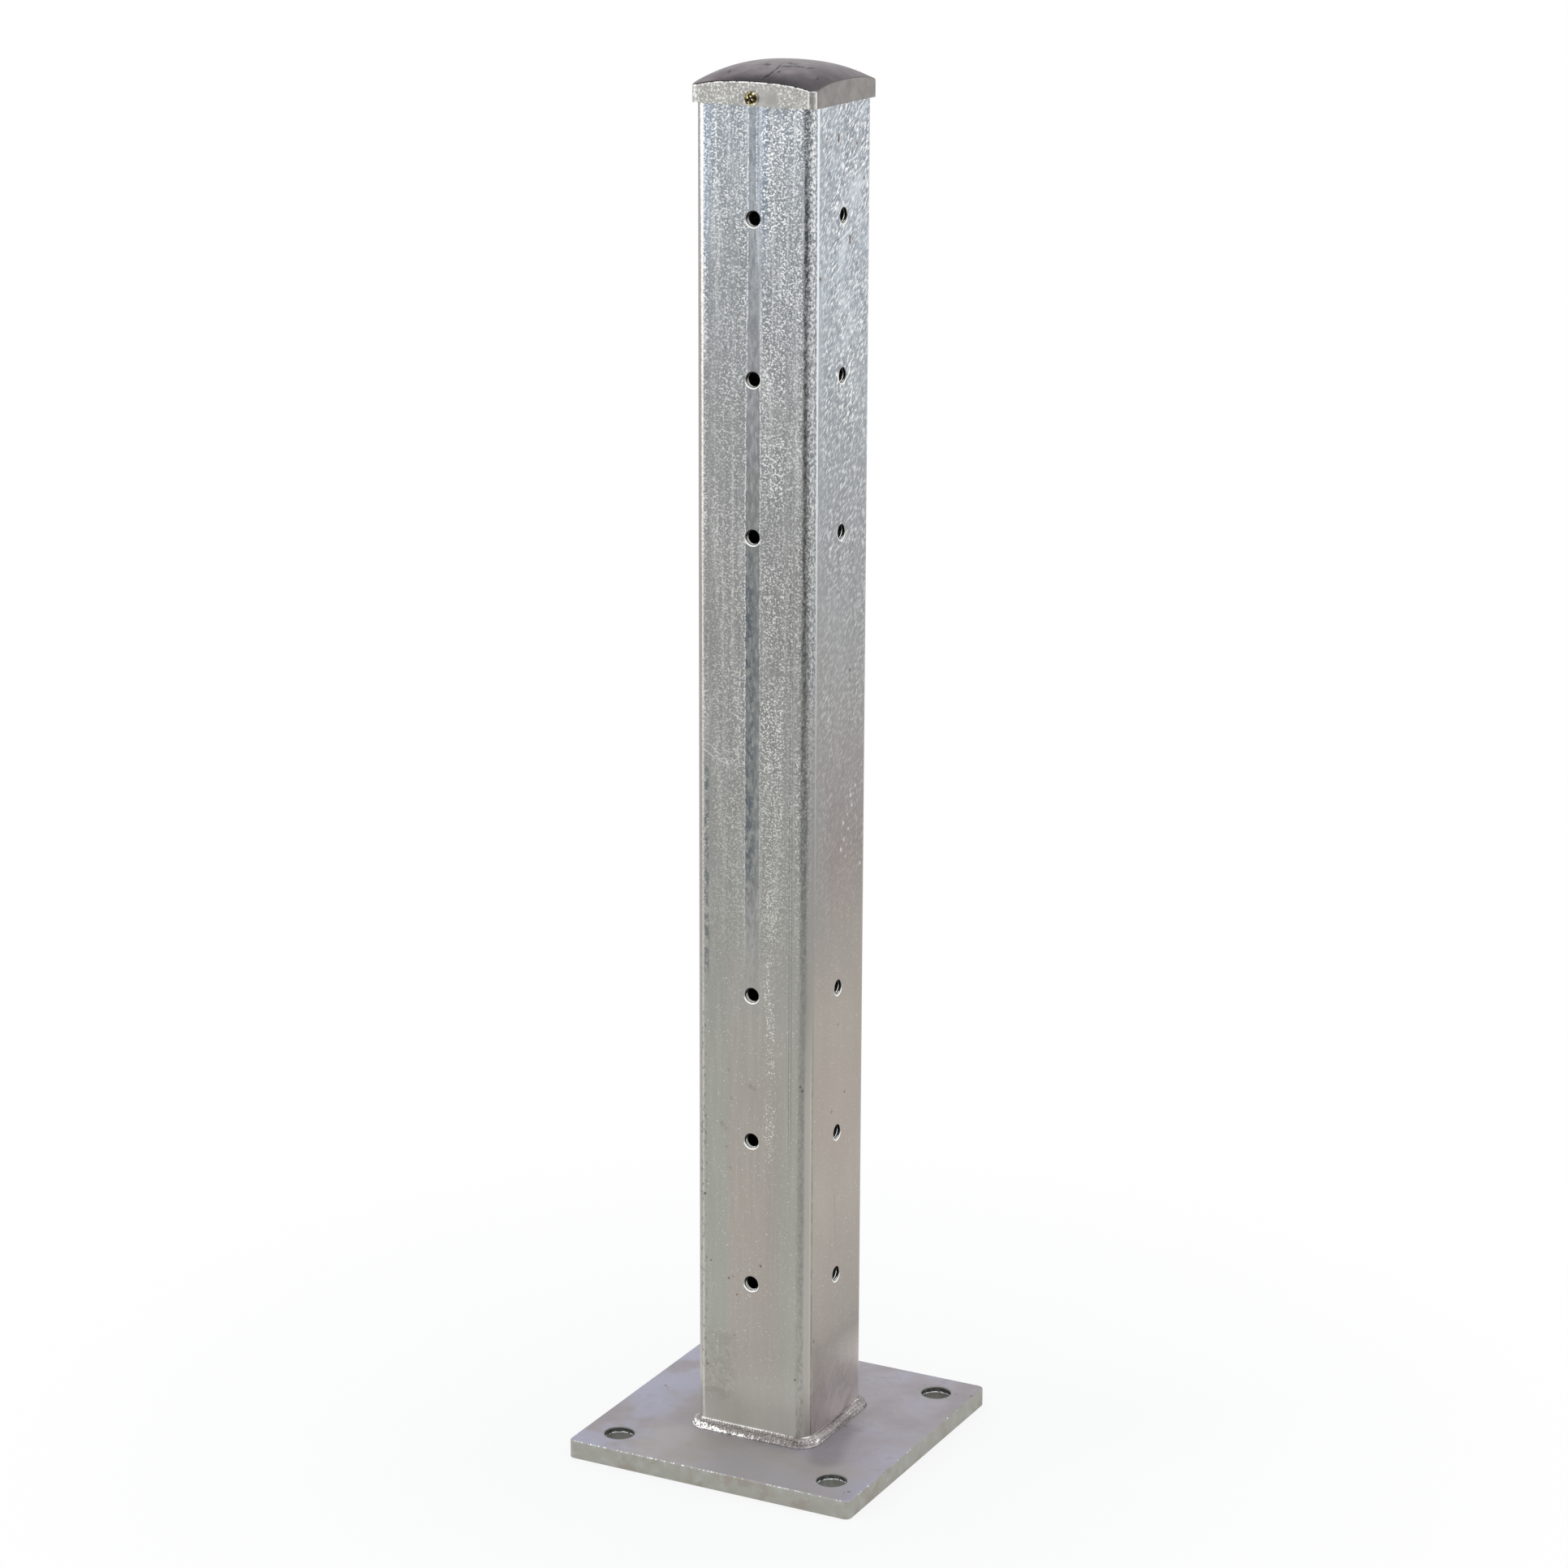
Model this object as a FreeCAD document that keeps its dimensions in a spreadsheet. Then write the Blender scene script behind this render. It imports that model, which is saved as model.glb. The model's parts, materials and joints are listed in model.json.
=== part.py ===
"""Guardrail post: a square tube on a welded base plate, with tapped holes for rails and a screwed cap.

Frame: millimetres, +Z up, origin at the centre of the base plate's underside.
The front face looks along -Y and the right face along +X. Both carry the tapped rail holes.
"""
import FreeCAD, Part
import math
import os
from enum import IntEnum

import Sketcher
from FreeCAD import Placement, Rotation, Vector

# Driving sizes: name, value in millimetres (counts are plain numbers), meaning
DRIVING_SIZES = (
    ("overall_height", 1100, "floor to the crown of the cap"),
    ("plate_width", 250, "side of the square base plate"),
    ("plate_thickness", 15, "base plate"),
    ("plate_corner_radius", 5, "vertical corners of the base plate"),
    ("plate_edge_round", 1.5, "upper edges of the base plate"),
    ("anchor_edge_distance", 30, "anchor hole's centre to the plate's side"),
    ("anchor_hole_diameter", 24, "anchor holes at their smooth land"),
    ("anchor_entry_round", 0.8, "rolled-in upper rim of each anchor hole"),
    ("anchor_land_depth", 4.6, "plate's top to the lower end of the smooth land"),
    ("anchor_breakout", 0.7, "how far the torn lower wall stands back from the land"),
    ("tube_width", 100, "outside of the square tube"),
    ("tube_wall", 5, "wall of the tube"),
    ("tube_outer_radius", 10, "outside corners of the tube"),
    ("tube_inner_radius", 5, "inside corners of the tube"),
    ("rail_hole_diameter", 12, "tapped rail holes, over the thread"),
    ("rail_hole_chamfer", 0.5, "mouth of each rail hole"),
    ("rail_hole_pitch", 120, "step between the holes of one group"),
    ("rail_hole_count", 3, "holes in one group"),
    ("lowest_hole_rise", 130, "plate's top to the centre of the lowest rail hole"),
    ("highest_hole_drop", 112, "crown of the cap to the centre of the highest rail hole"),
    ("weld_leg", 7, "both legs of the fillet weld"),
    ("weld_bulge", 0.8, "how far the weld's face bulges past its flat"),
    ("cap_wall", 1.7, "skirt of the cap"),
    ("cap_roof", 2.5, "roof of the cap above its hollow"),
    ("cap_clearance", 0.3, "gap between the tube and the cap's skirt, each side"),
    ("cap_skirt_depth", 12, "skirt's lower edge to the cap's top corners"),
    ("cap_seat_drop", 1, "cap's top corners down to the seat on the tube's end"),
    ("cap_edge_rise", 5.5, "rise of each arched top edge above the corners"),
    ("cap_crown_rise", 6, "further rise of the crown above two edge rises"),
    ("cap_corner_radius", 6, "vertical corners of the cap"),
    ("cap_edge_round", 2, "top edges of the cap"),
    ("screw_diameter", 5, "shank of the cap screw"),
    ("screw_clearance", 0.25, "gap round the shank in the cap's skirt"),
    ("screw_reach", 2, "shank past the tube's inner wall, without its point"),
    ("screw_point", 2, "length of the shank's conical point"),
    ("screw_head_diameter", 10.8, "pan head of the cap screw"),
    ("screw_head_height", 3.2, "pan head from its seat to its crown"),
    ("screw_head_edge", 1.4, "upright edge of the pan head"),
    ("recess_width", 1.4, "arms of the cross recess"),
    ("recess_span", 6.4, "cross recess from tip to tip"),
    ("recess_depth", 1.8, "cross recess below the head's crown"),
)

# Sizes worked out from the driving ones, kept in the sheet as formulas
DERIVED_SIZES = (
    ("tube_inner_width", "tube_width - 2 * tube_wall"),
    ("cap_socket_width", "tube_width + 2 * cap_clearance"),
    ("cap_socket_radius", "tube_outer_radius + cap_clearance"),
    ("cap_width", "cap_socket_width + 2 * cap_wall"),
    ("cap_height", "cap_skirt_depth + 2 * cap_edge_rise + cap_crown_rise"),
    ("cap_foot_height", "overall_height - cap_height"),
    ("cap_socket_depth", "cap_skirt_depth - cap_seat_drop"),
    ("tube_length", "cap_foot_height + cap_socket_depth - plate_thickness"),
    ("screw_centre_height", "cap_foot_height + cap_socket_depth / 2"),
    ("screw_grip", "cap_wall + cap_clearance + tube_wall + screw_reach"),
    ("rail_group_span", "rail_hole_pitch * (rail_hole_count - 1)"),
    ("lower_group_height", "plate_thickness + lowest_hole_rise"),
    ("upper_group_height", "overall_height - highest_hole_drop - rail_group_span"),
    ("weld_run", "tube_width - 2 * tube_outer_radius"),
)

SHEET = "sizes"
TOLERANCE = 1e-4
CUT_MARGIN = 1.0
FULL_TURN = 360.0
QUARTER_TURN = 90.0
SIDES = 4
SCREW_TURN = 30.0
UP = Vector(0, 0, 1)
ALONG_X = Vector(1, 0, 0)
ALONG_Y = Vector(0, 1, 0)


class Spot(IntEnum):
    """The numbers by which a sketch knows its axes, its origin and the points of an edge."""

    LEVEL_AXIS = -1
    UPRIGHT_AXIS = -2
    START = 1
    END = 2
    CENTRE = 3


ORIGIN_POINT = (Spot.LEVEL_AXIS, Spot.START)

# Poles of two curves of degree four, from -1 to 1: the square and the fourth power of the place
SQUARE_POLES = (1, 0, -1 / 3, 0, 1)
FOURTH_POWER_POLES = (1, -1, 1, -1, 1)
POLE_PLACES = (-1, -0.5, 0, 0.5, 1)


def make_sheet(doc):
    """One row for each size: its meaning, its number or formula, and its name as alias."""
    sheet = doc.addObject("Spreadsheet::Sheet", SHEET)
    rows = [(name, str(value), meaning) for name, value, meaning in DRIVING_SIZES]
    rows += [(name, "=" + formula, "worked out") for name, formula in DERIVED_SIZES]
    for row, (name, content, meaning) in enumerate(rows, start=1):
        sheet.set(f"A{row}", meaning)
        sheet.set(f"B{row}", content)
        sheet.setAlias(f"B{row}", name)
    doc.recompute()
    return sheet


def bind(target, path, formula):
    """Tie one property of an object to the sheet. Names of sizes are written in braces."""
    target.setExpression(path, formula.replace("{", SHEET + ".").replace("}", ""))


def make_body(doc, name):
    body = doc.addObject("PartDesign::Body", name)
    body.Label = name
    return body


def origin_item(body, role):
    """One of the body's own base planes or axes."""
    for item in body.Origin.OriginFeatures:
        if item.Role == role:
            return item
    raise LookupError(role)


def make_sketch(body, name, plane):
    sketch = body.newObject("Sketcher::SketchObject", name)
    sketch.AttachmentSupport = [(origin_item(body, plane), "")]
    sketch.MapMode = "FlatFace"
    return sketch


def rule(sketch, kind, *where):
    return sketch.addConstraint(Sketcher.Constraint(kind, *where))


def link(sketch, kind, earlier, later):
    """Hold the end of one edge to the start of the next."""
    rule(sketch, kind, earlier, Spot.END, later, Spot.START)


def ends(edge):
    return (edge, Spot.START, edge, Spot.END)


def dimension(sketch, name, formula, start_value, kind, *where):
    """Add a named dimension at a value near the real one, then tie it to the sheet."""
    index = rule(sketch, kind, *where, start_value)
    sketch.renameConstraint(index, name)
    bind(sketch, "Constraints." + name, formula)


def draw_rounded_square(sketch, name, sheet, width, radius):
    """A square centred on the sketch's origin with round corners. width and radius name sizes."""
    half = sheet.get(width) / 2
    bend = sheet.get(radius)
    inset = half - bend
    sides = []
    corners = []
    for side in range(SIDES):
        turn = Rotation(UP, side * QUARTER_TURN)
        run = Part.LineSegment(turn * Vector(-inset, -half, 0), turn * Vector(inset, -half, 0))
        corner = Part.Circle(turn * Vector(inset, -inset, 0), UP, bend)
        first = math.radians((side - 1) * QUARTER_TURN)
        arc = Part.ArcOfCircle(corner, first, first + math.radians(QUARTER_TURN))
        sides.append(sketch.addGeometry(run))
        corners.append(sketch.addGeometry(arc))
    for side in range(SIDES):
        following = sides[(side + 1) % SIDES]
        link(sketch, "Tangent", sides[side], corners[side])
        link(sketch, "Tangent", corners[side], following)
    bottom, right, top, left = sides
    for level in (bottom, top):
        rule(sketch, "Horizontal", level)
    for upright in (right, left):
        rule(sketch, "Vertical", upright)
    for corner in corners[1:]:
        rule(sketch, "Equal", corners[0], corner)
    rule(sketch, "Symmetric", bottom, Spot.START, top, Spot.START, *ORIGIN_POINT)
    dimension(sketch, name + "_radius", "{" + radius + "}", bend, "Radius", corners[0])
    for kind, low, high in (("DistanceX", left, right), ("DistanceY", bottom, top)):
        apart = (low, Spot.START, high, Spot.START)
        dimension(sketch, name + "_" + kind, "{" + width + "}", 2 * half, kind, *apart)


def draw_circle(sketch, name, diameter, across, up):
    """A circle placed from the sketch's origin. Each of diameter, across and up is (formula, value)."""
    circle = sketch.addGeometry(Part.Circle(Vector(across[1], up[1], 0), UP, diameter[1] / 2))
    dimension(sketch, name + "_diameter", *diameter, "Diameter", circle)
    if across[1]:
        dimension(sketch, name + "_across", *across, "DistanceX", *ORIGIN_POINT, circle, Spot.CENTRE)
    else:
        rule(sketch, "PointOnObject", circle, Spot.CENTRE, Spot.UPRIGHT_AXIS)
    dimension(sketch, name + "_up", *up, "DistanceY", *ORIGIN_POINT, circle, Spot.CENTRE)


def add_pad(body, name, sketch, formula):
    pad = body.newObject("PartDesign::Pad", name)
    pad.Profile = sketch
    bind(pad, "Length", formula)
    return pad


def add_pocket(body, name, sketch, formula, along_normal):
    """Cut from the sketch's plane, along its normal or against it."""
    pocket = body.newObject("PartDesign::Pocket", name)
    pocket.Profile = sketch
    pocket.Reversed = along_normal
    bind(pocket, "Length", formula)
    return pocket


def add_turned_copies(body, name, features, count, angle):
    pattern = body.newObject("PartDesign::PolarPattern", name)
    pattern.Originals = features
    pattern.Axis = (origin_item(body, "Z_Axis"), [""])
    pattern.Angle = angle
    pattern.Occurrences = count
    body.Tip = pattern
    return pattern


def add_edge_feature(body, kind, name, size_name, formula, wanted):
    """Round or chamfer every edge of the body so far that the test wanted accepts."""
    body.Document.recompute()
    base = body.Tip
    picked = [f"Edge{i}" for i, edge in enumerate(base.Shape.Edges, start=1) if wanted(edge)]
    if not picked:
        raise LookupError(name)
    feature = body.newObject("PartDesign::" + kind, name)
    feature.Base = (base, picked)
    bind(feature, size_name, formula)
    body.Tip = feature
    return feature


def at_level(edge, height):
    """Whether the whole edge lies at one height."""
    box = edge.BoundBox
    return abs(box.ZMin - height) < TOLERANCE and abs(box.ZMax - height) < TOLERANCE


def is_circle(edge, radius):
    return isinstance(edge.Curve, Part.Circle) and abs(edge.Curve.Radius - radius) < TOLERANCE


def make_base_plate(doc, sheet):
    """A rounded square plate with four punched anchor holes, each with a land and a torn lower wall."""
    body = make_body(doc, "base_plate")
    outline = make_sketch(body, "plate_outline", "XY_Plane")
    draw_rounded_square(outline, "plate", sheet, "plate_width", "plate_corner_radius")
    add_pad(body, "plate_slab", outline, "{plate_thickness}")
    thickness = sheet.plate_thickness
    add_edge_feature(
        body, "Fillet", "plate_upper_edges", "Radius", "{plate_edge_round}",
        lambda edge: at_level(edge, thickness),
    )
    add_anchor_holes(body, sheet)
    hole_radius = sheet.anchor_hole_diameter / 2
    add_edge_feature(
        body, "Fillet", "anchor_entries", "Radius", "{anchor_entry_round}",
        lambda edge: at_level(edge, thickness) and is_circle(edge, hole_radius),
    )
    return body


def add_anchor_holes(body, sheet):
    """One hole of two depths near the +X +Y corner, repeated round the plate."""
    place = sheet.plate_width / 2 - sheet.anchor_edge_distance
    centre = ("{plate_width} / 2 - {anchor_edge_distance}", place)
    land = make_sketch(body, "anchor_land_outline", "XY_Plane")
    land_diameter = ("{anchor_hole_diameter}", sheet.anchor_hole_diameter)
    draw_circle(land, "land", land_diameter, centre, centre)
    land_cut = add_pocket(body, "anchor_land", land, f"{{plate_thickness}} + {CUT_MARGIN}", True)
    breakout = make_sketch(body, "anchor_breakout_outline", "XY_Plane")
    torn_diameter = (
        "{anchor_hole_diameter} + 2 * {anchor_breakout}",
        sheet.anchor_hole_diameter + 2 * sheet.anchor_breakout,
    )
    draw_circle(breakout, "breakout", torn_diameter, centre, centre)
    lower_cut = add_pocket(
        body, "anchor_torn_wall", breakout, "{plate_thickness} - {anchor_land_depth}", True
    )
    add_turned_copies(body, "anchor_holes", [land_cut, lower_cut], SIDES, FULL_TURN)


def make_post_tube(doc, sheet):
    """A square hollow section with two groups of tapped holes in two faces, and the cap screw's hole."""
    body = make_body(doc, "post_tube")
    section = make_sketch(body, "tube_section", "XY_Plane")
    draw_rounded_square(section, "outside", sheet, "tube_width", "tube_outer_radius")
    draw_rounded_square(section, "inside", sheet, "tube_inner_width", "tube_inner_radius")
    add_pad(body, "tube_walls", section, "{tube_length}")
    for face, plane in (("front", "XZ_Plane"), ("right", "YZ_Plane")):
        for group in ("lower", "upper"):
            add_rail_holes(body, sheet, face, group, plane)
    hole_radius = sheet.rail_hole_diameter / 2
    half = sheet.tube_width / 2
    add_edge_feature(
        body, "Chamfer", "rail_hole_mouths", "Size", "{rail_hole_chamfer}",
        lambda edge: is_circle(edge, hole_radius) and on_outside(edge, half),
    )
    add_tube_screw_hole(body, sheet)
    bind(body, "Placement.Base.z", "{plate_thickness}")
    return body


def on_outside(edge, half):
    """Whether a hole's rim lies in the tube's front or right face."""
    centre = edge.Curve.Center
    return abs(centre.y + half) < TOLERANCE or abs(centre.x - half) < TOLERANCE


def add_rail_holes(body, sheet, face, group, plane):
    """One group of tapped holes: the lowest one cut outward through its face, then copied upward."""
    name = f"{face}_{group}"
    sketch = make_sketch(body, name + "_hole_outline", plane)
    height = (
        "{" + group + "_group_height} - {plate_thickness}",
        sheet.get(group + "_group_height") - sheet.plate_thickness,
    )
    draw_circle(sketch, "hole", ("{rail_hole_diameter}", sheet.rail_hole_diameter), ("", 0), height)
    hole = add_pocket(body, name + "_hole", sketch, f"{{tube_width}} / 2 + {CUT_MARGIN}", True)
    pattern = body.newObject("PartDesign::LinearPattern", name + "_holes")
    pattern.Originals = [hole]
    pattern.Direction = (origin_item(body, "Z_Axis"), [""])
    bind(pattern, "Length", "{rail_group_span}")
    bind(pattern, "Occurrences", "{rail_hole_count}")
    body.Tip = pattern


def add_tube_screw_hole(body, sheet):
    """The hole that the cap screw bites in, through the front wall."""
    sketch = make_sketch(body, "screw_hole_outline", "XZ_Plane")
    height = (
        "{screw_centre_height} - {plate_thickness}",
        sheet.screw_centre_height - sheet.plate_thickness,
    )
    draw_circle(sketch, "hole", ("{screw_diameter}", sheet.screw_diameter), ("", 0), height)
    add_pocket(body, "screw_hole", sketch, f"{{tube_width}} / 2 + {CUT_MARGIN}", True)


def make_weld_run(doc, sheet, name, quarter_turns):
    """One fillet weld run: along a side of the tube's foot, then round the corner at its end."""
    body = make_body(doc, name)
    section = make_sketch(body, name + "_section", "YZ_Plane")
    bind(section, "AttachmentOffset.Base.z", "-{weld_run} / 2")
    draw_weld_section(section, sheet)
    add_pad(body, name + "_straight", section, "{weld_run}")
    corner = body.newObject("PartDesign::Revolution", name + "_corner")
    corner.Profile = section
    corner.ReferenceAxis = (section, ["Axis0"])
    corner.Angle = QUARTER_TURN
    corner.Reversed = True
    body.Placement = Placement(Vector(), Rotation(UP, quarter_turns * QUARTER_TURN))
    bind(body, "Placement.Base.z", "{plate_thickness}")
    return body


def draw_weld_section(sketch, sheet):
    """A right-angled section with a bulged face, and the upright axis of the tube's corner."""
    half = sheet.tube_width / 2
    leg = sheet.weld_leg
    bulge = sheet.weld_bulge
    root = Vector(-half, 0, 0)
    plate_toe = root - Vector(leg, 0, 0)
    tube_toe = root + Vector(0, leg, 0)
    radius = (leg ** 2 / 2 + bulge ** 2) / (2 * bulge)
    outward = Vector(-1, 1, 0).normalize()
    centre = (plate_toe + tube_toe) * 0.5 - outward * (radius - bulge)
    first = math.atan2(tube_toe.y - centre.y, tube_toe.x - centre.x)
    last = math.atan2(plate_toe.y - centre.y, plate_toe.x - centre.x)
    foot = sketch.addGeometry(Part.LineSegment(plate_toe, root))
    wall = sketch.addGeometry(Part.LineSegment(root, tube_toe))
    face = sketch.addGeometry(Part.ArcOfCircle(Part.Circle(centre, UP, radius), first, last))
    for earlier, later in ((foot, wall), (wall, face), (face, foot)):
        link(sketch, "Coincident", earlier, later)
    rule(sketch, "Horizontal", foot)
    rule(sketch, "Vertical", wall)
    rule(sketch, "PointOnObject", wall, Spot.START, Spot.LEVEL_AXIS)
    dimension(sketch, "root", "{tube_width} / 2", half, "DistanceX", wall, Spot.START, *ORIGIN_POINT)
    dimension(sketch, "foot_leg", "{weld_leg}", leg, "DistanceX", *ends(foot))
    dimension(sketch, "wall_leg", "{weld_leg}", leg, "DistanceY", *ends(wall))
    arc_formula = "({weld_leg} ^ 2 / 2 + {weld_bulge} ^ 2) / (2 * {weld_bulge})"
    dimension(sketch, "face_radius", arc_formula, radius, "Radius", face)
    inset = sheet.weld_run / 2
    axis = sketch.addGeometry(Part.LineSegment(Vector(-inset, 0, 0), Vector(-inset, leg, 0)), True)
    rule(sketch, "Vertical", axis)
    rule(sketch, "PointOnObject", axis, Spot.START, Spot.LEVEL_AXIS)
    dimension(sketch, "axis_place", "{weld_run} / 2", inset, "DistanceX", axis, Spot.START, *ORIGIN_POINT)
    dimension(sketch, "axis_length", "{weld_leg}", leg, "DistanceY", *ends(axis))


def rounded_block(width, radius, low, high):
    """An upright square block, centred on the Z axis, with round vertical corners."""
    corner = Vector(-width / 2, -width / 2, low)
    block = Part.makeBox(width, width, high - low, corner)
    uprights = [edge for edge in block.Edges if edge.BoundBox.ZLength > TOLERANCE]
    return block.makeFillet(radius, uprights)


def crowned_block(sheet, drop):
    """Everything below the cap's top surface, lowered by drop.

    The surface rises from the corners as two crossed arches, one for each side, and a product of
    both. An arch is full-shouldered: it falls from its middle as the mean of a square and a fourth
    power. A patch of degree four holds the surface exactly, so its poles follow from the rises.
    """
    half = sheet.cap_width / 2
    reach = half + CUT_MARGIN
    stretch = (reach / half) ** 2
    arch = [
        1 - (stretch * square + stretch ** 2 * fourth) / 2
        for square, fourth in zip(SQUARE_POLES, FOURTH_POWER_POLES)
    ]
    surface = Part.BezierSurface()
    surface.increase(len(arch) - 1, len(arch) - 1)
    for i, (place_x, rise_x) in enumerate(zip(POLE_PLACES, arch), start=1):
        for j, (place_y, rise_y) in enumerate(zip(POLE_PLACES, arch), start=1):
            edge_rise = sheet.cap_edge_rise * (rise_x + rise_y)
            crown_rise = sheet.cap_crown_rise * rise_x * rise_y
            height = sheet.cap_skirt_depth - drop + edge_rise + crown_rise
            surface.setPole(i, j, Vector(place_x * reach, place_y * reach, height))
    depth = sheet.cap_height + sheet.cap_skirt_depth
    return surface.toShape().extrude(Vector(0, 0, -depth))


def make_post_cap(doc, sheet):
    """A cast cap: crowned top, skirt over the tube, seat on the tube's end and a hollow above it.

    Its own frame has the skirt's lower edge at zero.
    """
    block = rounded_block(sheet.cap_width, sheet.cap_corner_radius, 0, sheet.cap_height)
    outside = block.common(crowned_block(sheet, 0))
    upper = [edge for edge in outside.Edges if edge.BoundBox.ZMin > sheet.cap_skirt_depth - TOLERANCE]
    outside = outside.makeFillet(sheet.cap_edge_round, upper)
    socket = rounded_block(
        sheet.cap_socket_width, sheet.cap_socket_radius, -CUT_MARGIN, sheet.cap_socket_depth
    )
    hollow = rounded_block(sheet.tube_inner_width, sheet.tube_inner_radius, 0, sheet.cap_height)
    hollow = hollow.common(crowned_block(sheet, sheet.cap_roof))
    hole_radius = sheet.screw_diameter / 2 + sheet.screw_clearance
    hole_start = Vector(0, -sheet.cap_width / 2 - CUT_MARGIN, sheet.cap_socket_depth / 2)
    hole = Part.makeCylinder(hole_radius, sheet.cap_wall + 2 * CUT_MARGIN, hole_start, ALONG_Y)
    cap = doc.addObject("Part::Feature", "post_cap")
    cap.Label = "post_cap"
    cap.Shape = outside.cut(socket).cut(hollow).cut(hole)
    cap.Placement = Placement(Vector(0, 0, sheet.cap_foot_height), Rotation())
    return cap


def make_cap_screw(doc, sheet):
    """A pan head screw with a cross recess, driven until the cross stands askew.

    Its own frame has the head's seat at zero and the crown above it.
    """
    body = make_body(doc, "cap_screw")
    profile = make_sketch(body, "screw_profile", "XZ_Plane")
    draw_screw_profile(profile, sheet)
    turned = body.newObject("PartDesign::Revolution", "screw_turned")
    turned.Profile = profile
    turned.ReferenceAxis = (profile, ["V_Axis"])
    turned.Angle = FULL_TURN
    slot = make_sketch(body, "recess_outline", "XY_Plane")
    bind(slot, "AttachmentOffset.Base.z", "{screw_head_height}")
    draw_recess_arm(slot, sheet)
    arm = add_pocket(body, "recess_arm", slot, "{recess_depth}", False)
    add_turned_copies(body, "cross_recess", [arm], 2, QUARTER_TURN)
    body.Placement = Placement(Vector(), Rotation(ALONG_X, QUARTER_TURN) * Rotation(UP, SCREW_TURN))
    bind(body, "Placement.Base.y", "-{cap_width} / 2")
    bind(body, "Placement.Base.z", "{screw_centre_height}")
    return body


def draw_screw_profile(sketch, sheet):
    """Half of the screw's section: axis, conical point, shank, flat seat, upright edge, domed crown."""
    shank = sheet.screw_diameter / 2
    head = sheet.screw_head_diameter / 2
    edge = sheet.screw_head_edge
    crown = sheet.screw_head_height
    grip = sheet.screw_grip
    point = sheet.screw_point
    dome = (head ** 2 + (crown - edge) ** 2) / (2 * (crown - edge))
    corners = [
        Vector(0, crown, 0), Vector(0, -grip - point, 0), Vector(shank, -grip, 0),
        Vector(shank, 0, 0), Vector(head, 0, 0), Vector(head, edge, 0),
    ]
    lines = [
        sketch.addGeometry(Part.LineSegment(first, second))
        for first, second in zip(corners, corners[1:])
    ]
    axis, tip, side, seat, rim = lines
    centre = Vector(0, crown - dome, 0)
    first = math.atan2(edge - centre.y, head)
    top = sketch.addGeometry(Part.ArcOfCircle(Part.Circle(centre, UP, dome), first, math.pi / 2))
    for earlier, later in zip(lines + [top], lines[1:] + [top, axis]):
        link(sketch, "Coincident", earlier, later)
    rule(sketch, "PointOnObject", axis, Spot.START, Spot.UPRIGHT_AXIS)
    rule(sketch, "PointOnObject", axis, Spot.END, Spot.UPRIGHT_AXIS)
    rule(sketch, "PointOnObject", top, Spot.CENTRE, Spot.UPRIGHT_AXIS)
    rule(sketch, "PointOnObject", seat, Spot.START, Spot.LEVEL_AXIS)
    rule(sketch, "Vertical", side)
    rule(sketch, "Horizontal", seat)
    rule(sketch, "Vertical", rim)
    origin = ORIGIN_POINT
    dimension(sketch, "shank", "{screw_diameter} / 2", shank, "DistanceX", *origin, side, Spot.START)
    dimension(sketch, "head", "{screw_head_diameter} / 2", head, "DistanceX", *origin, rim, Spot.START)
    dimension(sketch, "edge", "{screw_head_edge}", edge, "DistanceY", *ends(rim))
    dimension(sketch, "crown", "{screw_head_height}", crown, "DistanceY", *origin, top, Spot.END)
    dimension(sketch, "grip", "{screw_grip}", grip, "DistanceY", *ends(side))
    dimension(sketch, "point", "{screw_point}", point, "DistanceY", *ends(tip))


def draw_recess_arm(sketch, sheet):
    """One arm of the cross: a rectangle centred on the screw's axis."""
    across = sheet.recess_span / 2
    up = sheet.recess_width / 2
    signs = ((-1, -1), (1, -1), (1, 1), (-1, 1))
    corners = [Vector(across * sign_x, up * sign_y, 0) for sign_x, sign_y in signs]
    edges = [
        sketch.addGeometry(Part.LineSegment(first, second))
        for first, second in zip(corners, corners[1:] + corners[:1])
    ]
    for earlier, later in zip(edges, edges[1:] + edges[:1]):
        link(sketch, "Coincident", earlier, later)
    low, right, high, left = edges
    for level in (low, high):
        rule(sketch, "Horizontal", level)
    for upright in (right, left):
        rule(sketch, "Vertical", upright)
    rule(sketch, "Symmetric", low, Spot.START, high, Spot.START, *ORIGIN_POINT)
    dimension(sketch, "span", "{recess_span}", 2 * across, "DistanceX", *ends(low))
    dimension(sketch, "width", "{recess_width}", 2 * up, "DistanceY", *ends(right))


def check_model(doc, parts):
    """Stop with a plain message if any object or finished solid is unsound."""
    for item in doc.Objects:
        if "Invalid" in item.State or "Error" in item.State:
            raise RuntimeError(f"{item.Name} failed: {item.State}")
        if item.isDerivedFrom("Sketcher::SketchObject") and not item.FullyConstrained:
            raise RuntimeError(f"{item.Name} isn't fully constrained")
    for part in parts:
        if part.Shape.isNull() or not part.Shape.isValid() or not part.Shape.Solids:
            raise RuntimeError(f"{part.Label} has no valid solid")


def main():
    doc = FreeCAD.newDocument("guardrail_post")
    sheet = make_sheet(doc)
    parts = [make_base_plate(doc, sheet), make_post_tube(doc, sheet)]
    for quarter_turns, side in enumerate(("front", "right", "back", "left")):
        parts.append(make_weld_run(doc, sheet, "weld_" + side, quarter_turns))
    parts.append(make_post_cap(doc, sheet))
    parts.append(make_cap_screw(doc, sheet))
    doc.recompute()
    check_model(doc, parts)
    os.makedirs("parts", exist_ok=True)
    for part in parts:
        part.Shape.exportStep(f"parts/{part.Label}.step")
        print(part.Label, round(part.Shape.Volume, 1))
    return parts


main()
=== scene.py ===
import json
import math
import random

import bmesh
import bpy
from mathutils import Matrix, Vector
from mathutils import noise as field


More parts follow.
